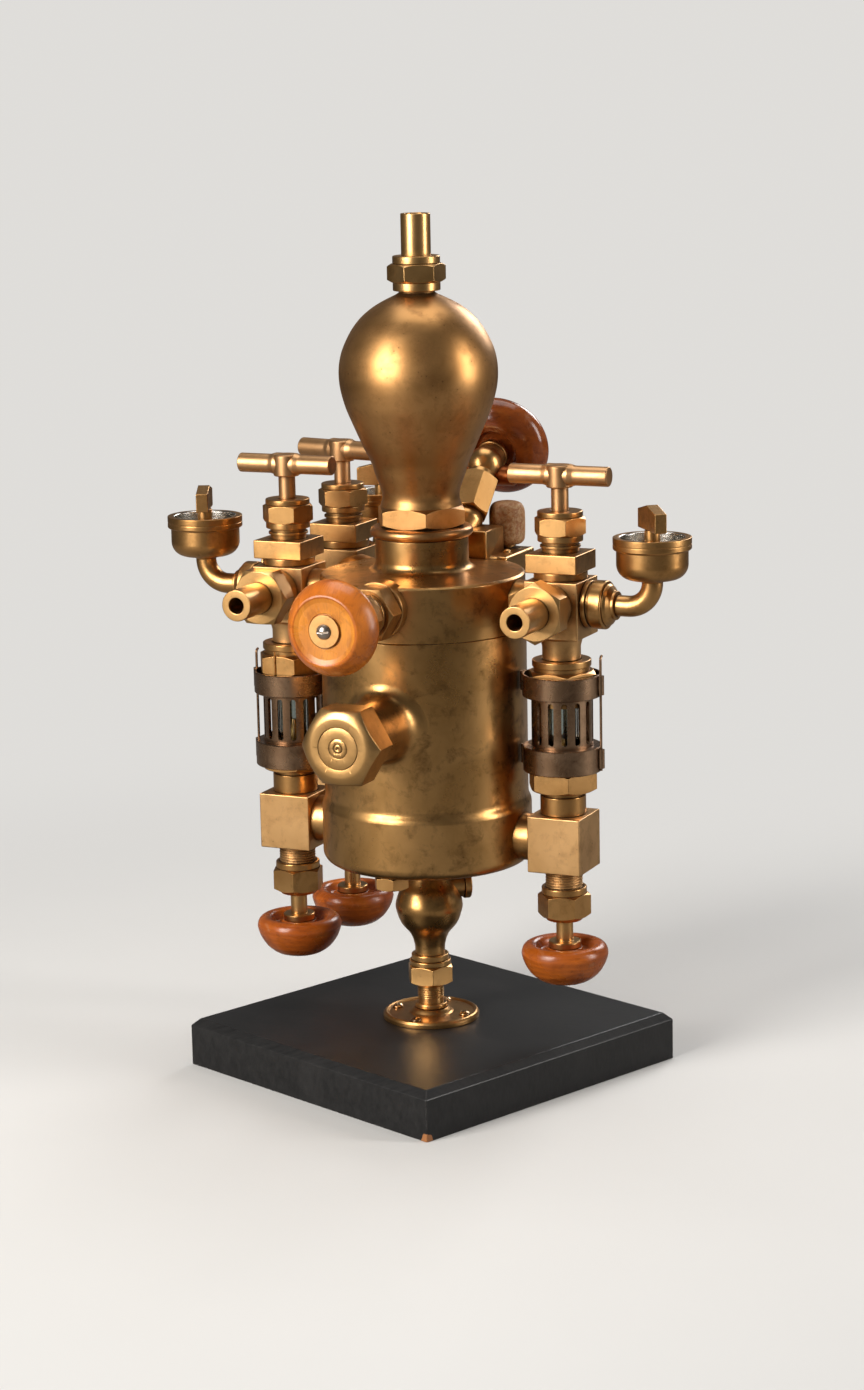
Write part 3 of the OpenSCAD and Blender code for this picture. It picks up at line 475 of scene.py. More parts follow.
def metal(name, light, mid, dark, rough=(0.24, 0.42), lines=0.35, patina=0.5, spots=0.4, shade_deposit_amt=0.75, seed=1.0,
          red=0.0, bump=0.25):
    """Aged metal: uneven tarnish, dull patches, small stains, lathe marks, and painted shade with deposits in the
    corners.
    """
    t = Tree(name)
    co = t.coords(seed)
    big = t.noise(co, 26, 5, 0.6, 0.6)
    mid_n = t.noise(co, 95, 6, 0.65, 0.3)
    fine = t.noise(co, 620, 4, 0.6)
    vfine = t.noise(co, 2400, 2, 0.5)
    col = t.mix(t.ramp(big, [(0.32, 0), (0.68, 1)]), mid, light)
    dull = t.ramp(mid_n, [(0.5, 0), (0.72, 1)])
    col = t.mix(t.math("MULTIPLY", dull, patina), col, dark)
    # smears running downwards
    run = t.noise(t.coords(seed + 3, (1, 1, 0.22)), 120, 5, 0.7, 0.5)
    col = t.mix(t.math("MULTIPLY", t.ramp(run, [(0.56, 0), (0.78, 1)]), patina * 0.55), col,
                tuple(c * 0.75 for c in mid))
    # pin-head stains
    sp = t.n("ShaderNodeTexVoronoi", {"feature": "F1"}, Vector=co, Scale=300.0).outputs["Distance"]
    spot = t.math("MULTIPLY", t.ramp(sp, [(0.08, 1), (0.2, 0)]), t.ramp(mid_n, [(0.52, 0), (0.62, 1)]))
    col = t.mix(t.math("MULTIPLY", spot, spots), col, tuple(c * 0.55 for c in dark))
    if red:
        col = t.mix(t.math("MULTIPLY", t.ramp(t.noise(co, 48, 4, 0.6, 0.8), [(0.48, 0), (0.7, 1)]), red), col,
                    (0.42, 0.16, 0.06))
    # painted shade where parts meet: an AO mask darkens the colour, and the same mask adds roughness for deposits
    ao = t.n("ShaderNodeAmbientOcclusion", {"samples": 6}, Distance=0.004).outputs["AO"]
    ao_shade_and_deposit = t.math("MULTIPLY", t.ramp(ao, [(0.35, 1), (0.8, 0)]), shade_deposit_amt)
    col = t.mix(ao_shade_and_deposit, col, (0.085, 0.045, 0.018))
    r = t.math("MULTIPLY_ADD", t.ramp(big, [(0.3, 0), (0.7, 1)]), (rough[1] - rough[0]) * 0.5, rough[0])
    r = t.math("MULTIPLY_ADD", dull, (rough[1] - rough[0]) * 0.6, r)
    r = t.math("MULTIPLY_ADD", fine, 0.06, r)
    r = t.math("MULTIPLY_ADD", ao_shade_and_deposit, 0.22, r, clamp=True)
    # turning marks follow the lathe profile
    at = t.n("ShaderNodeAttribute", {"attribute_name": "turn"}).outputs["Fac"]
    v1 = t.n("ShaderNodeCombineXYZ", None, X=t.math("MULTIPLY", at, 3.1), Y=seed).outputs[0]
    tl = t.noise(v1, 1.0, 3, 0.7)
    h = t.math("MULTIPLY", tl, lines)
    h = t.math("MULTIPLY_ADD", fine, 0.25, h)
    h = t.math("MULTIPLY_ADD", vfine, 0.08, h)
    h = t.math("MULTIPLY_ADD", mid_n, 0.6, h)
    h = t.math("MULTIPLY_ADD", spot, -0.35, h)
    bp = t.n("ShaderNodeBump", None, Strength=bump, Distance=0.00012, Height=h)
    p = t.n("ShaderNodeBsdfPrincipled", None, Metallic=1.0, Base_Color=col, Roughness=r)
    t.t.links.new(bp.outputs[0], p.inputs["Normal"])
    return t.out(p)


def wood(name, light, mid, dark, axis=(1, 1, 9), rough=(0.2, 0.42), worn=0.5, seed=2.0, rot=(0, 0, 0), cork=0.0):
    """Varnished turned wood: grain lines, colour drift, handling wear and small dents."""
    t = Tree(name)
    co = t.coords(seed, axis, rot)
    iso = t.coords(seed + 5)
    warp = t.noise(iso, 30, 3, 0.5)
    off = t.n("ShaderNodeVectorMath", {"operation": "SCALE"}, i0=t.n("ShaderNodeCombineXYZ", None, X=warp, Y=warp,
              Z=warp).outputs[0], Scale=0.02).outputs[0]
    v = t.n("ShaderNodeVectorMath", {"operation": "ADD"}, i0=co, i1=off).outputs[0]
    rings = t.n("ShaderNodeTexWave", {"wave_type": "BANDS", "bands_direction": "Z"}, Vector=v, Scale=11.0,
                Distortion=7.0, Detail=3.0, Detail_Scale=1.4).outputs["Fac"]
    fib = t.noise(v, 150, 6, 0.65, 0.2)
    soft = t.noise(iso, 36, 3, 0.5, 0.4)
    col = t.mix(t.ramp(soft, [(0.3, 0), (0.7, 1)]), mid, light)
    col = t.mix(t.math("MULTIPLY", t.ramp(rings, [(0.35, 1), (0.95, 0)]), 0.2), col, dark)
    col = t.mix(t.math("MULTIPLY", t.ramp(fib, [(0.5, 0), (0.72, 1)]), 0.45), col, dark)
    # darker blotches and pale rubbed places
    blot = t.noise(iso, 75, 5, 0.65, 1.0)
    col = t.mix(t.math("MULTIPLY", t.ramp(blot, [(0.54, 0), (0.66, 1)]), 0.5), col, dark)
    col = t.mix(t.math("MULTIPLY", t.ramp(t.noise(iso, 58, 5, 0.7, 0.9), [(0.60, 0), (0.70, 1)]), 0.35), col,
                (0.50, 0.26, 0.14))
    drift = t.noise(iso, 42, 4, 0.6, 0.7)
    col = t.mix(t.math("MULTIPLY", t.ramp(drift, [(0.5, 0), (0.75, 1)]), worn), col, tuple(c * 0.62 for c in mid))
    wear = t.ramp(t.noise(iso, 120, 6, 0.75, 1.2), [(0.63, 0), (0.71, 1)])
    col = t.mix(t.math("MULTIPLY", wear, worn), col, tuple(c * 0.4 for c in dark))
    if cork:
        g = t.ramp(t.noise(iso, 520, 3, 0.7), [(0.4, 0), (0.62, 1)])
        col = t.mix(t.math("MULTIPLY", g, cork), col, (0.55, 0.36, 0.18))
    # painted shade: an AO mask darkens the colour in crevices and where parts meet
    ao = t.n("ShaderNodeAmbientOcclusion", {"samples": 6}, Distance=0.005).outputs["AO"]
    ao_shade_and_deposit = t.math("MULTIPLY", t.ramp(ao, [(0.3, 1), (0.75, 0)]), 0.6)
    col = t.mix(ao_shade_and_deposit, col, (0.05, 0.018, 0.006))
    r = t.math("MULTIPLY_ADD", t.ramp(drift, [(0.35, 0), (0.7, 1)]), rough[1] - rough[0], rough[0])
    r = t.math("MULTIPLY_ADD", wear, 0.15, r, clamp=True)
    h = t.math("MULTIPLY_ADD", fib, 0.25, t.math("MULTIPLY", t.noise(iso, 260, 4, 0.6), 0.4))
    h = t.math("MULTIPLY_ADD", wear, -1.4, h)
    if cork:
        h = t.math("MULTIPLY_ADD", t.noise(iso, 520, 3, 0.7), 3.0 * cork, h)
    bp = t.n("ShaderNodeBump", None, Strength=0.3, Distance=0.0002, Height=h)
    p = t.n("ShaderNodeBsdfPrincipled", None, Base_Color=col, Roughness=r)
    p.inputs["Coat Weight"].default_value = 0.0 if cork else 0.22
    p.inputs["Coat Roughness"].default_value = 0.2
    p.inputs["Specular IOR Level"].default_value = 0.35
    t.t.links.new(bp.outputs[0], p.inputs["Normal"])
    return t.out(p)


M_CAST = metal("cast_brass", (0.68, 0.385, 0.145), (0.53, 0.27, 0.088), (0.22, 0.105, 0.034), (0.25, 0.40), 0.05,
               0.6, 0.45, 0.9, 1.0, bump=0.18)
M_BULB = metal("cast_brass_bulb", (0.58, 0.31, 0.115), (0.45, 0.225, 0.075), (0.23, 0.11, 0.04), (0.32, 0.46), 0.03,
               0.6, 0.7, 0.8, 4.0, bump=0.2)
M_BODY = metal("cast_brass_reservoir", (0.66, 0.375, 0.14), (0.47, 0.25, 0.08), (0.17, 0.085, 0.028), (0.23, 0.38),
               0.05, 0.85, 0.6, 0.9, 7.0, bump=0.18)
M_TURN = metal("turned_brass", (0.74, 0.44, 0.175), (0.60, 0.33, 0.115), (0.32, 0.16, 0.05), (0.24, 0.36), 0.05,
               0.35, 0.3, 0.9, 9.0, bump=0.1)
M_TEE = metal("satin_brass", (0.66, 0.38, 0.18), (0.54, 0.29, 0.125), (0.32, 0.16, 0.06), (0.34, 0.46), 0.0,
              0.4, 0.3, 0.9, 10.0, bump=0.08)
M_BLOCK = metal("cast_brass_block", (0.70, 0.42, 0.185), (0.58, 0.325, 0.125), (0.30, 0.155, 0.055), (0.34, 0.48), 0.0,
                0.6, 0.6, 0.9, 12.0, bump=0.16)
M_GUARD = metal("guard_bronze", (0.42, 0.27, 0.165), (0.27, 0.155, 0.085), (0.10, 0.055, 0.03), (0.2, 0.36), 0.05,
                0.75, 0.4, 0.8, 15.0, bump=0.15)
M_RING = metal("copper_ring", (0.60, 0.31, 0.12), (0.48, 0.23, 0.08), (0.24, 0.105, 0.035), (0.25, 0.4), 0.05, 0.5,
               0.4, 0.9, 17.0, bump=0.15)
M_STUB = metal("cast_brass_tarnished", (0.44, 0.135, 0.04), (0.33, 0.09, 0.025), (0.16, 0.045, 0.014), (0.30, 0.45),
               0.04, 0.6, 0.4, 0.85, 18.0, bump=0.15)
M_SCREW = metal("screw_heads", (0.88, 0.62, 0.36), (0.76, 0.50, 0.26), (0.40, 0.22, 0.09), (0.14, 0.26), 0.0, 0.4,
                0.3, 0.8, 19.0, bump=0.1)
M_TIN = metal("tinned_inside", (0.84, 0.81, 0.76), (0.66, 0.63, 0.58), (0.26, 0.22, 0.17), (0.14, 0.3), 0.5, 0.55,
              0.6, 0.3, 21.0, bump=1.0)
M_DISC = metal("worn_disc", (0.70, 0.40, 0.155), (0.60, 0.31, 0.105), (0.38, 0.18, 0.06), (0.38, 0.5), 0.3, 0.5,
               0.4, 0.8, 23.0)
M_STEEL = metal("screw_steel", (0.62, 0.55, 0.47), (0.48, 0.41, 0.34), (0.24, 0.18, 0.13), (0.22, 0.36), 0.1, 0.5,
                0.4, 0.8, 25.0)
M_WOOD = wood("wood_handle", (0.50, 0.125, 0.014), (0.36, 0.070, 0.007), (0.10, 0.017, 0.003), (1, 1, 7))
M_WOODF = wood("wood_handle_front", (0.72, 0.215, 0.022), (0.55, 0.13, 0.012), (0.20, 0.04, 0.006), (7, 1, 1),
               seed=6.0, worn=0.45)
# painted light: a lighter copy of the front-wheel wood for the wheel's face, standing for light falling on it
M_WOOD_LIT_FACE = wood("wood_dish_painted_light", (0.82, 0.32, 0.040), (0.66, 0.215, 0.024), (0.34, 0.09, 0.010), (7, 1, 1),
               seed=6.0, worn=0.25)
# painted shade: a darker copy of the handle wood for the rear wheel behind the bulb
M_WOOD_SHADED = wood("wood_handle_rear_painted_shade", (0.40, 0.10, 0.016), (0.26, 0.053, 0.009), (0.09, 0.017, 0.004), (1, 3, 3),
               seed=8.0, rough=(0.12, 0.28))
M_KNOB = wood("wood_knob", (0.46, 0.20, 0.08), (0.36, 0.145, 0.05), (0.17, 0.06, 0.022), (1, 1, 5), seed=10.0,
              rough=(0.45, 0.7), cork=0.7)


def base_material():
    t = Tree("black_base")
    turn_rad = math.radians(BASE_TURN)
    streak = t.noise(t.coords(2, (1, 16, 4), (0, 0, -turn_rad)), 40, 6, 0.7)
    streak2 = t.noise(t.coords(5, (1, 60, 8), (0, 0, -turn_rad)), 60, 3, 0.6)
    blot = t.noise(t.coords(8), 22, 5, 0.6, 0.5)
    col = t.mix(t.ramp(streak, [(0.35, 0), (0.7, 1)]), (0.009, 0.0088, 0.0088), (0.021, 0.020, 0.0195))
    col = t.mix(t.math("MULTIPLY", t.ramp(blot, [(0.5, 0), (0.75, 1)]), 0.5), col, (0.031, 0.029, 0.028))
    # scuffs along the edges
    g = t.n("ShaderNodeNewGeometry").outputs["Normal"]
    bev = t.n("ShaderNodeBevel", {"samples": 6}, Radius=0.0012).outputs[0]
    d = t.n("ShaderNodeVectorMath", {"operation": "DOT_PRODUCT"}, i0=g, i1=bev).outputs["Value"]
    edge = t.ramp(d, [(0.90, 1), (0.995, 0)])
    brk = t.ramp(t.noise(t.coords(11), 210, 6, 0.8, 0.6), [(0.46, 0), (0.6, 1)])
    scuff = t.math("MULTIPLY", edge, brk)
    col = t.mix(t.math("MULTIPLY", scuff, 0.8), col, (0.16, 0.15, 0.14))
    # fine scratches
    sc = t.ramp(t.noise(t.coords(14, (1, 26, 1), (0, 0, 0.4)), 90, 3, 0.9, 0.4), [(0.7, 0), (0.74, 1)])
    col = t.mix(t.math("MULTIPLY", sc, 0.35), col, (0.09, 0.088, 0.085))
    # one chip to bare wood at the front bottom corner
    tc = t.n("ShaderNodeTexCoord").outputs["Object"]
    far = t.n("ShaderNodeVectorMath", {"operation": "DISTANCE"}, i0=tc, i1=CHIP).outputs["Value"]
    chip = t.math("LESS_THAN", t.math("MULTIPLY_ADD", t.noise(t.coords(1), 300, 3, 0.6), 0.003, far), 0.0062)
    col = t.mix(chip, col, (0.42, 0.17, 0.06))
    r = t.math("MULTIPLY_ADD", streak, 0.16, 0.27)
    r = t.math("MULTIPLY_ADD", scuff, 0.2, r, clamp=True)
    h = t.math("MULTIPLY_ADD", streak2, 0.8, t.math("MULTIPLY", streak, 0.6))
    h = t.math("MULTIPLY_ADD", scuff, -0.6, h)
    bp = t.n("ShaderNodeBump", None, Strength=0.32, Distance=0.0002, Height=h)
    p = t.n("ShaderNodeBsdfPrincipled", None, Base_Color=col, Roughness=r)
    p.inputs["Specular IOR Level"].default_value = 0.55
    t.t.links.new(bp.outputs[0], p.inputs["Normal"])
    return t.out(p)


def glass_material():
    t = Tree("sight_glass")
    film = t.noise(t.coords(3, (1, 1, 0.3)), 160, 5, 0.7, 0.4)
    col = t.mix(t.ramp(film, [(0.5, 0), (0.8, 1)]), (0.86, 0.93, 0.89), (0.62, 0.66, 0.58))
    r = t.math("MULTIPLY_ADD", t.ramp(film, [(0.55, 0), (0.85, 1)]), 0.25, 0.02)
    p = t.n("ShaderNodeBsdfPrincipled", None, Base_Color=col, Roughness=r, IOR=1.47)
    p.inputs["Transmission Weight"].default_value = 1.0
    return t.out(p)


def matte_material(name, a, b, rough, scale=300):
    t = Tree(name)
    n = t.noise(t.coords(4), scale, 5, 0.6)
    col = t.mix(t.ramp(n, [(0.35, 0), (0.7, 1)]), a, b)
    bp = t.n("ShaderNodeBump", None, Strength=0.5, Distance=0.0002, Height=n)
    p = t.n("ShaderNodeBsdfPrincipled", None, Base_Color=col, Roughness=rough)
    t.t.links.new(bp.outputs[0], p.inputs["Normal"])
    return t.out(p)


base_verts = [v.co for v in NODES["base_block"].data.vertices]
corner = max(base_verts, key=lambda c: c.x)
BASE_TURN = math.degrees(math.atan2(corner.y, corner.x)) - 45
BASE_H = math.hypot(corner.x, corner.y) * 1000 / math.sqrt(2)
fa = math.radians(BASE_TURN - 45)
CHIP = (math.cos(fa) * BASE_H * math.sqrt(2) * 0.001, math.sin(fa) * BASE_H * math.sqrt(2) * 0.001, 0.0)
M_BASE = base_material()
M_GLASS = glass_material()
M_SEAL = matte_material("packing", (0.03, 0.027, 0.024), (0.075, 0.065, 0.055), 0.75)
M_FIBRE = matte_material("fibre", (0.22, 0.11, 0.055), (0.36, 0.19, 0.10), 0.8, 500)
BY_SLOT = {"cast_brass": M_CAST, "turned_brass": M_TURN, "guard_bronze": M_GUARD, "copper_ring": M_RING,
           "wood_handle": M_WOOD, "black_base": M_BASE, "sight_glass": M_GLASS, "packing": M_SEAL,
           "fibre": M_FIBRE}
MADE = {}


def piece(node, geo, mats=None, name=None, body=None):
    """One finished piece that stands for a CAD node."""
    name = name or node + "_v"
    me = geo.mesh(name) if isinstance(geo, Geo) else geo
    o = bpy.data.objects.new(name, me)
    bpy.context.scene.collection.objects.link(o)
    mats = mats or [BY_SLOT[SLOT[node]]]
    idx = np.zeros(len(me.polygons), np.int32)
    me.polygons.foreach_get("material_index", idx)
    me.materials.clear()
    for m in mats:
        me.materials.append(m)
    me.polygons.foreach_set("material_index", np.minimum(idx, len(mats) - 1))
    w = o.modifiers.new("normals", "WEIGHTED_NORMAL")
    w.keep_sharp = True
    w.weight = 60
    if name == node + "_v":
        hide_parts(node)
    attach(o, body or BODY[node])
    MADE[name] = (node, o)
    return o


# ------------------------------------------------------------------- base
def make_base():
    b = bmesh.new()
    h, t, c = BASE_H, LIFT + 28.6, 4.2
    lv = [(0, h), (t - c, h), (t, h - c)]
    rings = []
    for z, s in lv:
        rings.append([b.verts.new((x * s, y * s, z)) for x, y in ((1, 1), (-1, 1), (-1, -1), (1, -1))])
    b.faces.new(rings[0][::-1])
    b.faces.new(rings[2])
    for i in (0, 1):
        for k in range(4):
            m = (k + 1) % 4
            b.faces.new([rings[i][k], rings[i][m], rings[i + 1][m], rings[i + 1][k]])
    bmesh.ops.bevel(b, geom=b.edges[:], offset=0.45, segments=3, profile=0.5, affect="EDGES")
    piece("base_block", Geo().bm(b, R("z", BASE_TURN)), [M_BASE])


def make_stand():
    g = Geo().lathe([(7.52, 28.6), (flange_r, 28.6), (flange_r, 31), (flange_r - 0.8, 32.2), (flange_r - 1.8, 32.6),
                     (flange_r - 2.8, 32.2), (flange_r - 3.4, 31.5), (13.2, 31.7), (12.2, 32.4), (11.2, 33.6),
                     (10.2, 34.4), (7.52, 34.6)], UP, 128, True, 0.35)
    piece("floor_flange", g)
    R0 = math.sqrt(3.25 ** 2 + 2.6 ** 2)
    allg = Geo()
    for i in range(4):
        M = UP @ R("z", 90 * i) @ T(flange_pcr) @ R("z", 20 + 47 * i)
        s = Geo().lathe([(0, 17.5), (1.7, 17.5), (1.7, 31.74), (3.25, 31.74), (3.25, 32.4)]
                        + arc(0, 29.8, R0, math.degrees(math.atan2(2.6, 3.25)) + 5, 86, 9) + [(0, 29.8 + R0)],
                        M, 48, False, 0.15)
        cut = Geo().box(-5, 5, -0.45, 0.45, 33.1, 36, M, 0)
        join_mesh(allg, boolean(s, cut, "screw%d" % i))
    piece("flange_screws", allg, [M_SCREW])
    g = Geo()
    g.ring(3, 7.5, 28.7, 50, UP, 72)
    g.ring(5, 9.6, 34.7, 37.4, UP, 72, 0.6)
    g.thread(7.9, 40.0, 47.9, UP, 1.4, 0.55)
    g.lathe([(3, 47.6), (7.6, 47.6), (10.6, 50), (10.6, 50.4), (3, 50.4)], UP, 72, True, 0.3)
    g.nut(24.7, 50, 61, UP, bore=3)
    g.ring(3, 12.3, 60.9, 64, UP, 72, 0.6)
    g.ring(3, 11.1, 63.9, 67.6, UP, 72, 0.6)
    piece("stand_nipple", g, [M_TURN])
    pts = smooth([(8.8, 67.7), (8.8, 69.4), (9.3, 74.2), (11.5, 80.2), (16.4, 86.2), (18.9, 92.2), (19.8, 98.2),
                  (17.3, 106.2), (14.2, 111.2), (12.2, 116.2), (12, 121.2), (12.6, 126.4)], 8)
    g = Geo().lathe([(0, 67.7)] + pts + [(0, 126.4)], UP, 128, False, 0.35)
    D = UP @ R("z", 38) @ T(0, 0, 108) @ OUT
    g.rod(7.6, 6, 20.5, D, 64, 0.6)
    piece("leg_body", g, [M_BODY])
    g = Geo().nut(18.5, 119, 126.4, UP @ T(-2, -47), bore=0)
    g.rod(6, 126.3, 129.5, UP @ T(-2, -47))
    g.rod(3.45, 8, 21, D)
    g.rod(8.6, 20.6, 24.6, D, 64, 0.7)
    piece("drain_plugs", g)


# -------------------------------------------------------------- reservoir
def make_reservoir():
    prof = [(0, 126.5)] + arc(band_r - 6.5, 133, 6.5, -90, 0, 12) + [(band_r, 159.6)] \
        + smooth([(band_r, 160), (band_r - 0.4, 162), (wall_r + 0.3, 164.6), (wall_r, 167)], 4) \
        + [(wall_r, 180), (wall_r, 200), (wall_r, 216), (wall_r, 235), (wall_r, 264.4), (wall_r - wall_t, 264.4),
           (wall_r - wall_t, 138), (wall_r - wall_t - 0.9, 134), (52, 131), (0, 131)]
    g = Geo().lathe(prof, UP, 192, False, 0.45)
    cut = Geo().rod(14.2, 40, 64, UP @ T(0, 0, 216) @ FRONT, 64, 0)
    me = boolean(g, cut, "reservoir_cut")
    g = join_mesh(Geo(), me)
    # filler neck drawn out of the wall with a tangent flare
    J, K = 128, 22
    th = np.arange(J) * 2 * PI / J
    v = []
    rr, rf, t0 = filler_neck_r + 0.4, 26.5, 72.0
    W = wall_r - 0.03
    for a in th:
        c, s = math.cos(a), math.sin(a)
        x = rf * c
        y = -math.sqrt(W * W - x * x)
        p0 = np.array([x, y, rf * s])
        tw = np.array([-c, (-x / y) * -c, -s])
        p3 = np.array([rr * c, -t0, rr * s])
        p1, p2 = p0 + tw * 7.2, p3 + np.array([0, 8.2, 0])
        row = [np.array([14.05 * c, -54, 14.05 * s]), np.array([x, y + 2.4, rf * s])]
        for i in range(K + 1):
            u = i / K
            row.append((1 - u) ** 3 * p0 + 3 * u * (1 - u) ** 2 * p1 + 3 * u * u * (1 - u) * p2 + u ** 3 * p3)
        e = fillet([(rr, t0), (filler_neck_r, 79), (filler_neck_r, fill_s - 1.1), (14.05, fill_s - 1.1),
                    (14.05, 54)], 0.5, False, 3)
        for r, tt in e[1:-1]:
            row.append(np.array([r * c, -tt, r * s]))
        v.append(row)
    n = len(v[0])
    faces = [[j * n + i, ((j + 1) % J) * n + i, ((j + 1) % J) * n + (i + 1) % n, j * n + (i + 1) % n]
             for j in range(J) for i in range(n)]
    g.add(np.array(v).reshape(-1, 3), faces, UP @ T(0, 0, 216), np.tile(np.arange(n) * 0.6, J))
    piece("reservoir_body", g, [M_BODY])
    top = [(cap_r - 1.2, 296.6), (collar_r + 8.5, 298.6)] + arc(collar_r + 5.5, 304.3, 5.5, -95, -180, 12)
    g = Geo().lathe([(14, 264.5), (cap_r, 264.5), (cap_r, 280), (cap_r, 295.4)] + top
                    + [(collar_r, 308), (collar_r, 317.4), (14, 317.4)], UP, 192, True, 0.55)
    piece("reservoir_cap", g, [M_BODY])
    g = Geo().lathe([(15.3, 317.5)] + arc(washer_r - 3.1, 320.6, 3.1, -90, 90, 14) + [(15.3, 323.7)], UP, 144, True,
                    0.25)
    piece("neck_washer", g)
    # filler cap
    M = UP @ T(0, 0, 216) @ FRONT
    rc = filler_af / 2 / math.cos(PI / 6)
    e, s = filler_reach, fill_s
    g = Geo()
    cn = [(rc * math.cos(i * PI / 3), rc * math.sin(i * PI / 3)) for i in range(6)]
    oc = fillet(cn, 0.7, True, 4)
    out = []
    for i, a in enumerate(oc):
        b = oc[(i + 1) % len(oc)]
        m = 12 if math.hypot(b[0] - a[0], b[1] - a[1]) > 3 else 1
        out += [(a[0] + (b[0] - a[0]) * q / m, a[1] + (b[1] - a[1]) * q / m) for q in range(m)]
    rows = []
    dome = [(rc, e - 4.6), (rc - 1.7, e - 3.1), (rc - 3.8, e - 1.4), (rc - 6, e - 0.4), (rc - 8, e)]
    for x, y in out:
        r = math.hypot(x, y)
        # height where the turned dome cuts this flat
        k, z = 0, dome[0][1]
        for (ra, za), (rb, zb) in zip(dome, dome[1:]):
            if rb <= r <= ra:
                z = za + (zb - za) * (ra - r) / (ra - rb)
        f = (rc - 8)
        steps = []
        for q in range(1, 7):
            r2 = r + (f - r) * q / 6
            z2 = dome[-1][1]
            for (ra, za), (rb, zb) in zip(dome, dome[1:]):
                if rb <= r2 <= ra:
                    z2 = za + (zb - za) * (ra - r2) / (ra - rb)
            steps.append((r2, z2))
        p = [(0, s), (r - 0.9, s), (r, s + 0.9), (r, z - 0.25), (r - 0.18, z)] + steps \
            + [(12.3, e), (12.15, e - 0.7), (11.85, e - 0.7), (11.7, e), (5.9, e), (5.75, e - 0.6), (5.45, e - 0.6),
               (5.3, e), (2.9, e), (2.8, e - 0.5), (2.6, e - 0.5), (2.5, e), (0.7, e), (0.5, e - 0.5), (0, e - 0.6)]
        rows.append(p)
    g.grid(rows, np.array([math.atan2(y, x) for x, y in out]), M)
    g.rod(12.9, s - 17, s + 0.2, M, 72, 0.5)
    g.thread(13.9, s - 16, s - 0.4, M, 1.8, 0.8, 72)
    piece("filler_cap", g, [M_TURN])


# -------------------------------------------------------------- condenser
def make_condenser():
    pts = smooth([(23.6, 335.1), (23.2, 336.9), (22.4, 339.8), (22.6, 343.6), (24, 348), (25.8, 353), (28, 360),
                  (31.8, 368), (35.3, 376), (38.7, 384), (41.9, 392), (bulb_r - 1.4, 400), (bulb_r - 0.3, 406),
                  (bulb_r, 412), (bulb_r - 0.5, 418), (bulb_r - 1.9, 424), (bulb_r - 4.3, 430),
                  (bulb_r - 7.5, 436), (bulb_r - 11.1, 441), (bulb_r - 14.9, 445), (bulb_r - 20, 449),
                  (bulb_r - 25, 452), (bulb_r - 30, 454.5), (12.4, 456), (10.3, 457.3)], 7)
    g = Geo()
    g.lathe([(7.6, 312)] + [(13.95, 312), (13.95, 335)] + pts + [(10.3, 463.6), (7.6, 463.6)], UP, 224, True, 0.3,
            wob=0.07, seed=5)
    g.nut(bulb_af, 323.8, 335.4, UP, bore=13.5, edge=0.4, per=10, k=0.997)
    piece("condenser_bulb", g, [M_BULB])
    g = Geo()
    g.ring(10.35, 13.6, 458.3, 463.3, UP, 96, 0.6)
    g.nut(steam_af, 463.2, 473.6, UP, rot=30, bore=steam_r + 0.03, edge=0.4)
    g.ring(steam_r + 0.03, 13.6, 473.5, 478.1, UP, 96, 0.7)
    piece("steam_union_nut", g)
    piece("steam_pipe", Geo().lathe([(steam_bore_r, 463.9), (steam_r, 463.9), (steam_r, 480), (steam_r, steam_top),
                                     (steam_bore_r, steam_top)], UP, 96, True, 0.45))


# ------------------------------------------------------------ front valve
def ft(t):
    return cap_r + (t - 61.5) * 0.928


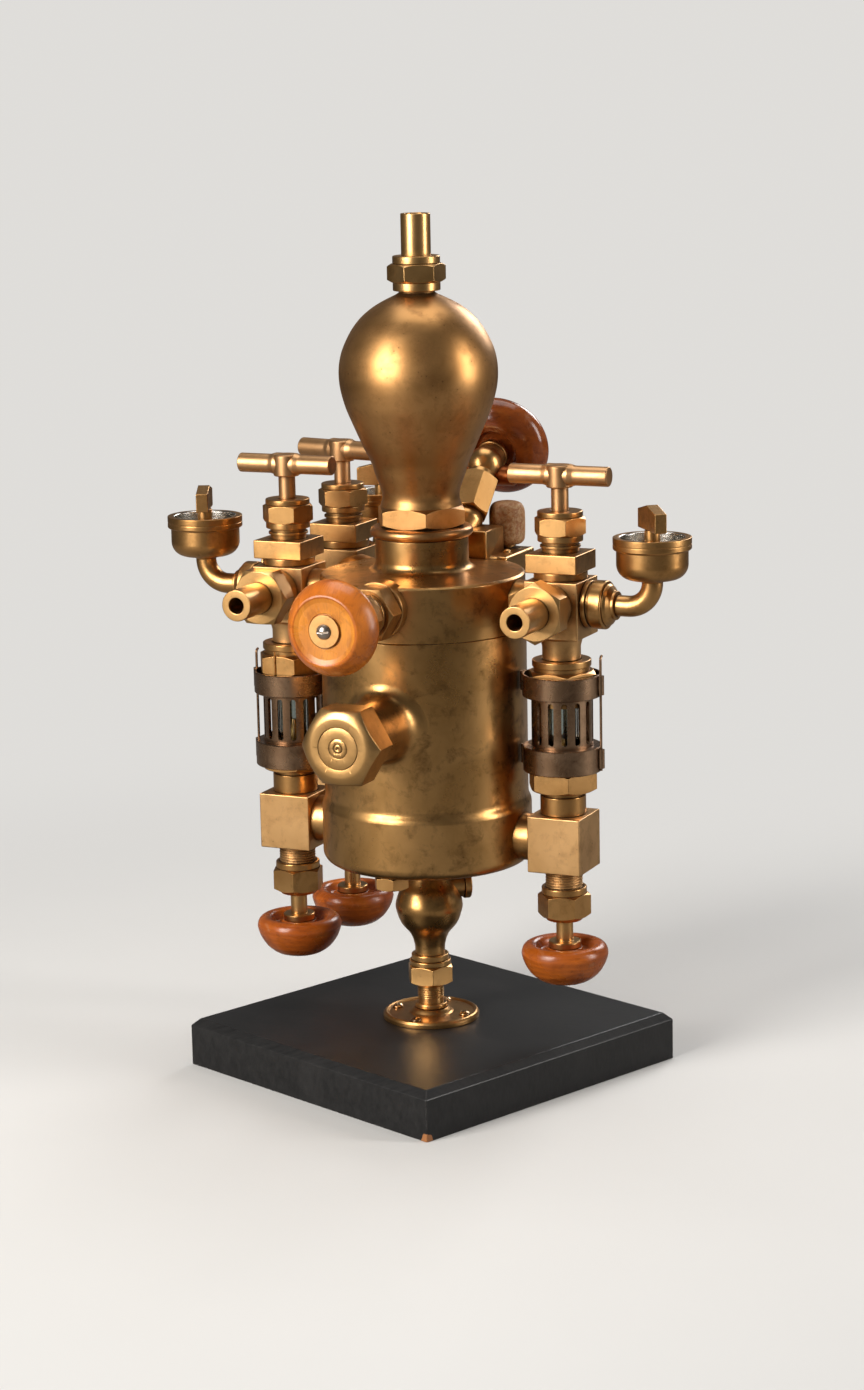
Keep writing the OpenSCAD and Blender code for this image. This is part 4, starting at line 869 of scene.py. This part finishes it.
def make_front():
    M = UP @ T(0, 0, 284) @ FRONT
    b = spindle_r + run
    g = Geo()
    g.ring(b, 16.4, 52, ft(66), M, 96, 0.6)
    g.nut(29, ft(65.8), ft(81), M, bore=b)
    g.ring(b, 12.5, ft(80.9), ft(84), M, 72, 0.5)
    g.ring(b, 10.2, ft(83), ft(93), M, 72)
    piece("front_valve_body", g)
    g = Geo()
    g.ring(10.55, 13, ft(86), ft(89.6), M, 72, 0.5)
    g.nut(gland_af, ft(89.5), ft(100), M, bore=b)
    g.ring(b, 13, ft(99.9), ft(103.3), M, 72, 0.6)
    piece("front_gland_nut", g)
    g = Geo().lathe([(0, ft(63.5)), (1.5, ft(63.5)), (spindle_r, ft(68)), (spindle_r, ft(109)), (8.2, ft(109.6)),
                     (8.7, ft(110.2)), (8.7, ft(115.9)), (8.1, ft(116.7)), (tenon_r, ft(116.7)),
                     (tenon_r, ft(127.4)), (0, ft(127.4))], M, 72, False, 0.3)
    piece("front_spindle", g)
    p = [(tenon_r + run, 116.85)] + smooth([(12, 116.85), (fw - 9.2, 117.5), (fw - 4.4, 119), (fw - 1.4, 121),
                                            (fw, 124.2), (fw - 0.6, 128), (fw - 2.4, 132), (fw - 4.6, 135.2),
                                            (fw - 6.2, 137.2), (fw - 7, 137.9)], 8)
    p += [(fw - 7.9, 138.1), (fw - 8.7, 137.6), (16, 136.7), (9.9, 136.4), (9.75, 136.0), (9.35, 136.0),
          (9.2, 136.4), (2, 136.4), (2, 128), (tenon_r + run, 128)]
    q = fillet([(r, ft(z)) for r, z in p], 0.3, True)
    # the wheel's face takes the lighter copy of the wood, which is painted light
    piece("front_wheel", Geo().lathe(q, M, 160, True, 0, wob=0.08, seed=3,
          matfn=lambda i: 1 if q[i][0] < fw - 8 and q[i][1] > ft(134) else 0), [M_WOODF, M_WOOD_LIT_FACE])
    Mw = M @ T(0, 0, ft(136.45) - 136.45)
    R0 = math.sqrt(4.2 ** 2 + 2.7 ** 2)
    s = Geo().lathe([(0, 129.5), (1.95, 129.5), (1.95, 138.0), (4.2, 138), (4.2, 138.7)]
                    + arc(0, 136, R0, math.degrees(math.atan2(2.7, 4.2)) + 4, 86, 9) + [(0, 136 + R0)], Mw, 64,
                    False, 0.15)
    cut = Geo().box(-6, 6, -0.55, 0.55, 139.6, 143, Mw @ R("z", 6), 0)
    g = join_mesh(Geo(), boolean(s, cut, "front_screw"))
    g.m = [1] * len(g.m)
    g.lathe([(2, 136.5), (9.1, 136.5), (9.1, 137.9), (2, 137.9)], Mw, 96, True, 0.3)
    piece("front_wheel_screw", g, [M_DISC, M_STEEL])


# -------------------------------------------------------------- rear valves
def make_rear():
    lo, hi = bx("angle_valve_wheel")
    j = [q for q in REC["behaviour"]["joints"] if q["name"] == "angle_valve_turn"][0]
    c20, s20 = math.cos(math.radians(20)), math.sin(math.radians(20))
    by = JPOS["angle_valve_turn"][1] - 24 * c20
    bz = JPOS["angle_valve_turn"][2] - 24 * s20
    B = T(0, by, bz)
    inlet, stem = B @ R("x", 46 - 90), B @ R("x", 20 - 90)
    # body block
    g = Geo()
    g.box(-18, 20.8, 45, 72.8, 290, 314, UP, 1.6, 4)
    g.box(-18, 31.6, 50, 94, 284, 298.4, UP, 1.8, 4)
    g.ring(3 + run, 9, 280, 298.6, UP @ T(18, 84), 64, 0.5)
    r6 = arc(0, 298, 2.6, -60, 90, 10)
    g.lathe([(0, 298 - 2.2)] + r6, UP @ T(25, 67), 32, False, 0)
    cut = Geo().rod(3 + run, 270, 320, UP @ T(18, 84), 48, 0)
    cut.rod(cap_r + 0.02, 250, 295.5, UP, 192, 0)
    me = boolean(g, cut, "rear_body_cut")
    piece("rear_body", join_mesh(Geo(), me), [M_CAST])
    g = Geo()
    g.lathe([(4, -52)] + smooth([(7.5, -52), (7.6, -49.5), (8.6, -46), (9.6, -42.5), (9.2, -39.5), (8, -37),
                                 (7.6, -35)], 6) + [(4, -35)], inlet, 72, True, 0.3)
    g.nut(20.5, -36.5, -11, inlet, bore=4, edge=0.4)
    g.lathe([(4, -12), (8, -12), (8, -9), (7.2, -4), (7.2, 0), (4, 0)], inlet, 72, True, 0.6)
    ball = arc(0, 0, 10.6, -90, 90, 40)
    ball = [(max(0, x), z) for x, z in ball]
    ball[0], ball[-1] = (0, -10.6), (0, 10.6)
    bg = Geo().lathe(ball, B, 96, False, 0)
    me = boolean(bg, Geo().rod(4.15 + run, -3, 16, stem, 48, 0), "ball_cut")
    join_mesh(g, me)
    g.ring(4.15 + run, 8.6, 4, 11, stem, 72, 0.5)
    g.ring(4.15 + run, 9.4, 10.9, 14.5, stem, 72, 0.7)
    piece("angle_valve_body", g, [M_CAST])
    g = Geo()
    g.rod(6.1, 4, 18.5, B @ T(0, 2, -7) @ OUT, 72, 0.9)
    g.rod(5.2, 18.3, 19.2, B @ T(0, 2, -7) @ OUT, 72, 0.4)
    piece("angle_valve_body", g, [M_STUB], "angle_valve_stub")
    g = Geo().lathe([(0, -1), (1.5, -1), (4.15, 3), (4.15, 17.4), (5.4, 17.4), (5.4, 18.9), (tenon_r, 18.9),
                     (tenon_r, 31), (0, 31)], stem, 64, False, 0.3)
    piece("angle_valve_spindle", g)
    p = [(tenon_r + run, 19), (11, 19), (12.4, 18.2), (13.4, 15.5)] + smooth(
        [(15, 13.6), (18, 13.1), (rw - 9, 14), (rw - 4.6, 16.2), (rw - 1.4, 19.6), (rw, 24), (rw - 0.8, 28.4),
         (rw - 3.4, 32), (rw - 7.4, 34.4), (rw - 12, 35.2)], 8) + [(12, 34.8), (8, 34.4), (0, 34.4)]
    q = [(0, 31.4), (tenon_r + run, 31.4)] + p
    # the rear wheel takes the darker copy of the wood, which is painted shade
    piece("angle_valve_wheel", Geo().lathe(q, stem, 160, False, 0.4, wob=0.08, seed=8), [M_WOOD_SHADED])
    K = UP @ T(18, 84)
    g = Geo().lathe([(0, 284), (1, 284), (3, 287), (3, 299.4), (5, 299.4), (5, 300.8), (2, 300.8), (2, 318),
                     (0, 318)], K, 48, False, 0.25)
    piece("vent_spindle", g)
    p = [(0, 318.3), (2 + run, 318.3), (2 + run, 301), (7.6, 301)] + smooth(
        [(8.6, 301.4), (10.2, 303.2), (10.7, 306), (10.8, 312), (10.7, 319.5), (10.2, 322.6), (8.8, 325),
         (6.6, 326.2), (3.5, 326.8)], 6) + [(0, 326.9)]
    piece("vent_knob", Geo().lathe(p, K, 96, False, 0.3, wob=0.06, seed=9), [M_KNOB])


# ------------------------------------------------------------------ feeds
GL_ROT = {"left": 50, "right": 3, "rear": 19}
KEY_ROT = {"left": 67.5, "right": -50.7, "rear": 75}
NUT_ROT = {"left": 0, "right": 30, "rear": 0}
LOW_ROT = {"left": 15, "right": 15, "rear": 15}


def make_feeds():
    b = spindle_r + run
    gu, gb, gg, gn, gp, gcu, ge, gc = (Geo() for _ in range(8))
    su, sl, lb, lg, gl, se, dn = (Geo() for _ in range(7))
    for k in SIDES:
        M = PLACE[k]
        F, O = M @ T(0, 0, port_z) @ FRONT, M @ T(0, 0, port_z) @ OUT
        blk = Geo().box(-block_h, block_h, -block_h, block_h, 264, 297, M, 0.7, 3)
        me = boolean(blk, Geo().rod(b, 284, 300, M, 64, 0), "blk_" + k)
        join_mesh(gu, me)
        gu.lathe([(4, 250.6), (11.1, 250.6), (11.1, 258), (12.2, 262.5), (14, 264.4), (4, 264.4)], M, 96, True, 0.5)
        gu.ring(outlet_bore, 12.9, 15.6, 28, F, 96, 0.6)
        gu.ring(3.5, 9, 15.6, 20.4, O, 64, 0.3)
        # bonnet: flange, square, screwed neck
        gb.ring(b, 15.4, 297.05, 301.6, M, 96, 0.6)
        sq = Geo().box(-15.5, 15.5, -15.5, 15.5, 301.5, 312.3, M, 0.6, 3)
        join_mesh(gb, boolean(sq, Geo().rod(b, 290, 320, M, 64, 0), "sq_" + k))
        gb.ring(b, 10.5, 312.2, 326, M, 72, 0.4)
        gb.ring(10, 11.6, 315.0, 316.5, M, 72, 0.3)
        # gland nut
        gg.ring(10.55, 13, 318.5, 322.1, M, 96, 0.5)
        gg.nut(gland_af, 322, 332.5, M, rot=GL_ROT[k], bore=b)
        gg.ring(b, 13, 332.4, 335.8, M, 96, 0.7)
        # outlet union and stub
        gn.nut(outlet_af, 28.05, 41, F, rot=NUT_ROT[k], bore=outlet_r + 0.02, edge=0.4)
        ln = rear_outlet_len if k == "rear" else outlet_len
        gp.lathe([(outlet_bore, 28.1), (outlet_r, 28.1), (outlet_r, 45), (outlet_r, ln), (outlet_bore, ln)], F, 96,
                 True, 0.5)
        # cup union
        gcu.ring(9.02, 13.5, block_h + 0.05, 19.4, O, 96, 0.6)
        gcu.ring(9.02, 12.3, 19.3, 20.8, O, 96, 0.2)
        gcu.ring(6.02, 13.9, 20.7, 28.8, O, 96, 1.0)
        gcu.lathe([(6.02, 28.7), (12.5, 28.7), (11.2, 30.9), (8.3, 32.9), (8.3, 34.6), (6.02, 34.6)], O, 96, True,
                  0.5)
        br = 14.0
        path = [(x, 0, port_z) for x in np.linspace(20.7, cup_out - br, 6)]
        path += [(cup_out - br + br * math.sin(a), 0, port_z + br - br * math.cos(a))
                 for a in np.linspace(0, PI / 2, 20)[1:]]
        path += [(cup_out, 0, z) for z in np.linspace(port_z + br, 299.3, 4)[1:]]
        ge.tube(path, 6.0, M, 64)
        ge.lathe([(0, 297.5), (6.0, 297.5), (7.6, 299.0), (0, 299.4)], M @ T(cup_out), 64, False, 0.3)
        # oil cup
        C = M @ T(cup_out, 0, 2.3)
        p = [(0, 297.05), (6.4, 297.05)] + arc(cup_r - 8.6, 305.6, 8.6, -78, 0, 12) + [
            (cup_r, 313.6), (cup_ring_r - 0.5, 314), (cup_ring_r, 314.6), (cup_ring_r, 316.8),
            (cup_ring_r - 0.35, 317.2), (cup_ring_r, 317.6), (cup_ring_r, 321), (cup_r - 1.6, 321)]
        q = fillet(p, 0.35, False, 3)
        inner = fillet([(cup_r - 1.6, 321), (cup_r - 2, 320.2), (cup_r - 2, 308), (cup_r - 3.4, 304),
                        (cup_r - 8, 300.5), (3, 300.5), (0, 300.5)], 0.8, False, 3)[1:]
        n0 = len(q)
        gc.lathe(q + inner, C, 128, False, 0, matfn=lambda i, n0=n0: 0 if i < n0 - 1 else 1)
        # sight glass fittings
        su.ring(11.12, 17, 246.5, 250.5, M, 96, 0.6)
        su.ring(9, 16.1, 243.9, 246.6, M, 96, 0.3)
        su.nut(sight_af, 232, 244.1, M, bore=glass_r + 0.15, edge=0.4)
        su.ring(12.7, 15.7, 224, 232.2, M, 96, 0.4)
        sl.ring(2.95, 13.2, 160.05, 171, M, 96, 0.5)
        sl.ring(2.95, 11.7, 170.9, 174.1, M, 96, 0.3)
        sl.nut(sight_af, 174, 186.2, M, bore=2.95, edge=0.4)
        sl.ring(12.7, 15.7, 186, 191, M, 96, 0.4)
        gl.lathe([(glass_r - glass_wall, 179.6), (glass_r, 179.6), (glass_r, 210), (glass_r, 240.8),
                  (glass_r - glass_wall, 240.8)], M, 96, True, 0.3)
        for z0, z1 in ((224.6, 228.9), (186.2, 190.4)):
            se.ring(glass_r + 0.03, 12.65, z0, z1, M, 72, 0.5)
        dn.lathe([(0.6, 172), (2.9, 172), (2.9, 179.2), (4.6, 179.2), (4.6, 186), (3, 187), (2.6, 197),
                  (1.2, 203.5), (0.6, 203.5)], M, 48, True, 0.2)
        # lower block and gland
        blk = Geo().box(-block_h, block_h, -block_h, block_h, 127, 160, M, 0.7, 3)
        join_mesh(lb, boolean(blk, Geo().rod(b, 120, 146, M, 64, 0), "lblk_" + k))
        th = Geo().thread(10.8, 110.5, 127.3, M, 1.6, 0.75, 96)
        join_mesh(lb, boolean(th, Geo().rod(b, 100, 140, M, 64, 0), "lth_" + k))
        lg.ring(10.85, 13.1, 112.5, 116.6, M, 96, 0.6)
        lg.nut(gland_af + 0.3, 99, 112.6, M, rot=LOW_ROT[k], bore=b)
        lg.lathe([(b, 96.8), (10.4, 96.8), (12.4, 99.1), (b, 99.1)], M, 96, True, 0.3)
        # moving parts
        g = Geo().lathe([(0, 349), (7.1, 349), (7.7, 349.6), (7.7, 360.9), (7, 361.7), (4, 362.1), (0, 362.2)], M,
                        96, False, 0.6)
        half = tee_len / 2
        g.lathe([(0, -half), (tee_r, -half), (tee_r, -10.4)] + smooth([(tee_r, -10.4), (tee_r + 0.1, -9.4),
                (tee_r + 0.5, -8), (tee_r + 0.9, -6.6)], 5) + smooth([(tee_r + 0.9, 6.6), (tee_r + 0.5, 8),
                (tee_r + 0.1, 9.4), (tee_r, 10.4)], 5) + [(tee_r, half), (0, half)], M @ T(0, 0, 355.9) @ OUT, 96,
                False, 0.7)
        if k == "rear":
            # this handle stands turned a little from the other two
            turn = UP @ T(rx, ry) @ R("z", -12) @ np.linalg.inv(M)
            g.v = [v @ turn[:3, :3].T + turn[:3, 3] for v in g.v]
            g.f = [f[::-1] for f in g.f]
        piece(k + "_tee_handle", g, [M_TEE])
        piece(k + "_tee_spindle", Geo().lathe([(0, 287), (1.5, 287), (spindle_r, 291), (spindle_r, 348.9),
                                               (tenon_r, 348.9), (tenon_r, 352), (0, 352)], M, 64, False, 0.25), [M_TEE])
        piece(k + "_feed_spindle", Geo().lathe([(0, 66.4), (tenon_r, 66.4), (tenon_r, 80.1), (9, 80.1),
                                                (9.4, 80.5), (9.4, 83.5), (8.9, 84), (spindle_r, 84),
                                                (spindle_r, 138), (1.2, 143), (0, 143)], M, 64, False, 0.3))
        p = [(0, 60), (12.5, 60)] + smooth([(14, 60.6), (wr - 8.6, 62.2), (wr - 5.4, 65), (wr - 3.2, 68),
                                            (wr - 1.5, 71.2), (wr - 0.2, 75), (wr, 77.4), (wr - 0.9, 80.2),
                                            (wr - 3, 82), (wr - 5.6, 82.4), (wr - 8, 81.4), (wr - 9.6, 79)], 6)
        p += [(14.6, 77.6), (11, 77.6), (10.2, 80), (tenon_r + run, 80), (tenon_r + run, 66.2), (0, 66.2)]
        piece(k + "_feed_wheel", Geo().lathe(p, M, 144, False, 0.4, wob=0.1, seed=SIDES.index(k)), [M_WOOD])
        C = C @ R("z", KEY_ROT[k])
        g = Geo().lathe([(0, 297.5), (2.95, 297.5), (2.95, 300.6), (5, 300.6), (5, 303), (4.4, 303), (4.4, 324.7),
                         (0, 324.7)], C, 64, False, 0.4)
        g.prism([(-15, 324.6), (15, 324.6), (15, 335.4), (0, 338.9), (-15, 335.4)], -3.5, 3.5, C, 0.5, 3)
        piece(k + "_cup_key", g, [M_CAST])
    piece("feed_blocks_upper", gu, [M_BLOCK])
    piece("feed_bonnets", gb)
    piece("feed_gland_nuts", gg)
    piece("outlet_union_nuts", gn)
    piece("outlet_pipes", gp)
    piece("cup_unions", gcu)
    piece("cup_elbows", ge)
    piece("oil_cups", gc, [M_CAST, M_TIN])
    W = UP @ T(-fx) @ R("z", -96) @ T(19.1, 0, 0)
    su.lathe([(0, 231), (0.35, 230.6), (0.62, 231.4), (0.5, 240), (0.5, 246.4), (0, 246.6)], W @ R("y", 1.2)
             @ T(-5.3, 0, 0.3), 20, False, 0.1)
    piece("sight_upper_nuts", su)
    piece("sight_lower_nuts", sl)
    piece("sight_glasses", gl)
    piece("sight_seals", se)
    piece("drip_nozzles", dn)
    piece("feed_blocks_lower", lb, [M_BLOCK])
    piece("lower_gland_nuts", lg)


make_base()
make_stand()
make_reservoir()
make_condenser()
make_front()
make_rear()
make_feeds()

# ------------------------------------------- CAD nodes shown as they are
for n, o in NODES.items():
    if not o.hide_render:
        o.data.materials.clear()
        o.data.materials.append(BY_SLOT[SLOT[n]])

# ------------------------------------------------------------------ stage
BACKDROP = (0.74, 0.725, 0.70)


def make_floor():
    b = bmesh.new()
    n, rad = 96, 9.0
    c = b.verts.new((0, 0, 0))
    rings = []
    for q in (0.5, 2.0, rad):
        rings.append([b.verts.new((q * math.cos(2 * PI * i / n), q * math.sin(2 * PI * i / n), 0))
                      for i in range(n)])
    for i in range(n):
        b.faces.new([c, rings[0][i], rings[0][(i + 1) % n]])
        for a, d in zip(rings, rings[1:]):
            b.faces.new([a[i], d[i], d[(i + 1) % n], a[(i + 1) % n]])
    me = bpy.data.meshes.new("studio_floor")
    b.to_mesh(me)
    b.free()
    o = bpy.data.objects.new("studio_floor", me)
    bpy.context.scene.collection.objects.link(o)
    t = Tree("studio_floor")
    nz = t.noise(t.coords(1), 6, 3, 0.5)
    col = t.mix(nz, (0.70, 0.69, 0.67), (0.74, 0.73, 0.71))
    lp = t.n("ShaderNodeLightPath")
    seen = lp.outputs["Is Camera Ray"]
    col = t.mix(t.math("SUBTRACT", 1.0, seen), col, (0.20, 0.194, 0.187))
    p = t.n("ShaderNodeBsdfPrincipled", None, Base_Color=col, Roughness=0.8)
    # far from the object the floor runs out into the background
    tc = t.n("ShaderNodeTexCoord").outputs["Object"]
    far = t.n("ShaderNodeVectorMath", {"operation": "LENGTH"}, i0=tc).outputs["Value"]
    fade = t.n("ShaderNodeMapRange", {"interpolation_type": "SMOOTHERSTEP"}, i0=far, i1=0.18, i2=0.95, i3=0.0,
               i4=1.0).outputs[0]
    em = t.n("ShaderNodeEmission", None, Color=t.col(BACKDROP), Strength=1.0)
    mixs = t.n("ShaderNodeMixShader", None, i0=t.math("MULTIPLY", fade, seen), i1=p.outputs[0], i2=em.outputs[0])
    me.materials.append(t.out(mixs))


def aim(o, target):
    d = Vector(target) - o.location
    o.rotation_euler = d.to_track_quat("-Z", "Y").to_euler()


def light(name, loc, size, watts, target=(0, 0, 0.28), color=(1, 1, 1), sy=None):
    d = bpy.data.lights.new(name, "AREA")
    d.shape = "RECTANGLE"
    d.size, d.size_y = size, sy or size
    d.energy = watts
    d.color = color
    o = bpy.data.objects.new(name, d)
    o.location = loc
    bpy.context.scene.collection.objects.link(o)
    aim(o, target)
    return o


make_floor()
cam_dir = -65.43


def around(deg, dist, z):
    a = math.radians(cam_dir + deg)
    return (dist * math.cos(a), dist * math.sin(a), z)


light("key_left", around(-48, 1.5, 0.85), 0.75, 35, color=(1.0, 0.97, 0.93), sy=1.1)
light("fill_right", around(76, 1.6, 0.7), 0.4, 14, color=(1.0, 0.97, 0.94), sy=1.1)
light("top", around(170, 0.4, 1.9), 1.2, 11, target=(0, 0, 0.2))
light("back_rim", around(150, 1.6, 1.0), 0.6, 9)

world = bpy.data.worlds.new("studio")
bpy.context.scene.world = world
world.use_nodes = True
wt = world.node_tree
wt.nodes.clear()
geo_n = wt.nodes.new("ShaderNodeTexCoord")
sep = wt.nodes.new("ShaderNodeSeparateXYZ")
wt.links.new(geo_n.outputs["Generated"], sep.inputs[0])
ramp = wt.nodes.new("ShaderNodeValToRGB")
ramp.color_ramp.elements[0].position = 0.0
ramp.color_ramp.elements[0].color = (0.12, 0.118, 0.115, 1)
ramp.color_ramp.elements[1].position = 0.9
ramp.color_ramp.elements[1].color = (0.075, 0.075, 0.076, 1)
wt.links.new(sep.outputs[2], ramp.inputs[0])
bg = wt.nodes.new("ShaderNodeBackground")
wt.links.new(ramp.outputs[0], bg.inputs[0])
bg.inputs[1].default_value = 1.0
bg2 = wt.nodes.new("ShaderNodeBackground")
bg2.inputs[0].default_value = BACKDROP + (1,)
lp = wt.nodes.new("ShaderNodeLightPath")
mx = wt.nodes.new("ShaderNodeMixShader")
wt.links.new(lp.outputs["Is Camera Ray"], mx.inputs[0])
wt.links.new(bg.outputs[0], mx.inputs[1])
wt.links.new(bg2.outputs[0], mx.inputs[2])
wo = wt.nodes.new("ShaderNodeOutputWorld")
wt.links.new(mx.outputs[0], wo.inputs[0])

# ----------------------------------------------------------------- camera
az, roll = math.radians(24.572), math.radians(-1.139)
loc = Vector((1.81504 * math.sin(az), -1.81504 * math.cos(az), 0.59813))
look = Vector((math.cos(az), math.sin(az), 0)) * 0.004108 + Vector((0, 0, 0.22321))
fwd = (look - loc).normalized()
right = fwd.cross(Vector((0, 0, 1))).normalized()
upv = right.cross(fwd)
r2 = right * math.cos(roll) + upv * math.sin(roll)
u2 = -right * math.sin(roll) + upv * math.cos(roll)
cam = bpy.data.objects.new("camera", bpy.data.cameras.new("camera"))
bpy.context.scene.collection.objects.link(cam)
m = Matrix((r2, u2, -fwd)).transposed().to_4x4()
m.translation = loc
cam.matrix_world = m
cam.data.sensor_fit = "AUTO"
cam.data.sensor_width = 36.0
cam.data.lens = 82.295
cam.data.clip_start = 0.01
cam.data.clip_end = 60
bpy.context.scene.camera = cam
bpy.context.scene.view_settings.view_transform = "Standard"

bpy.context.view_layer.update()
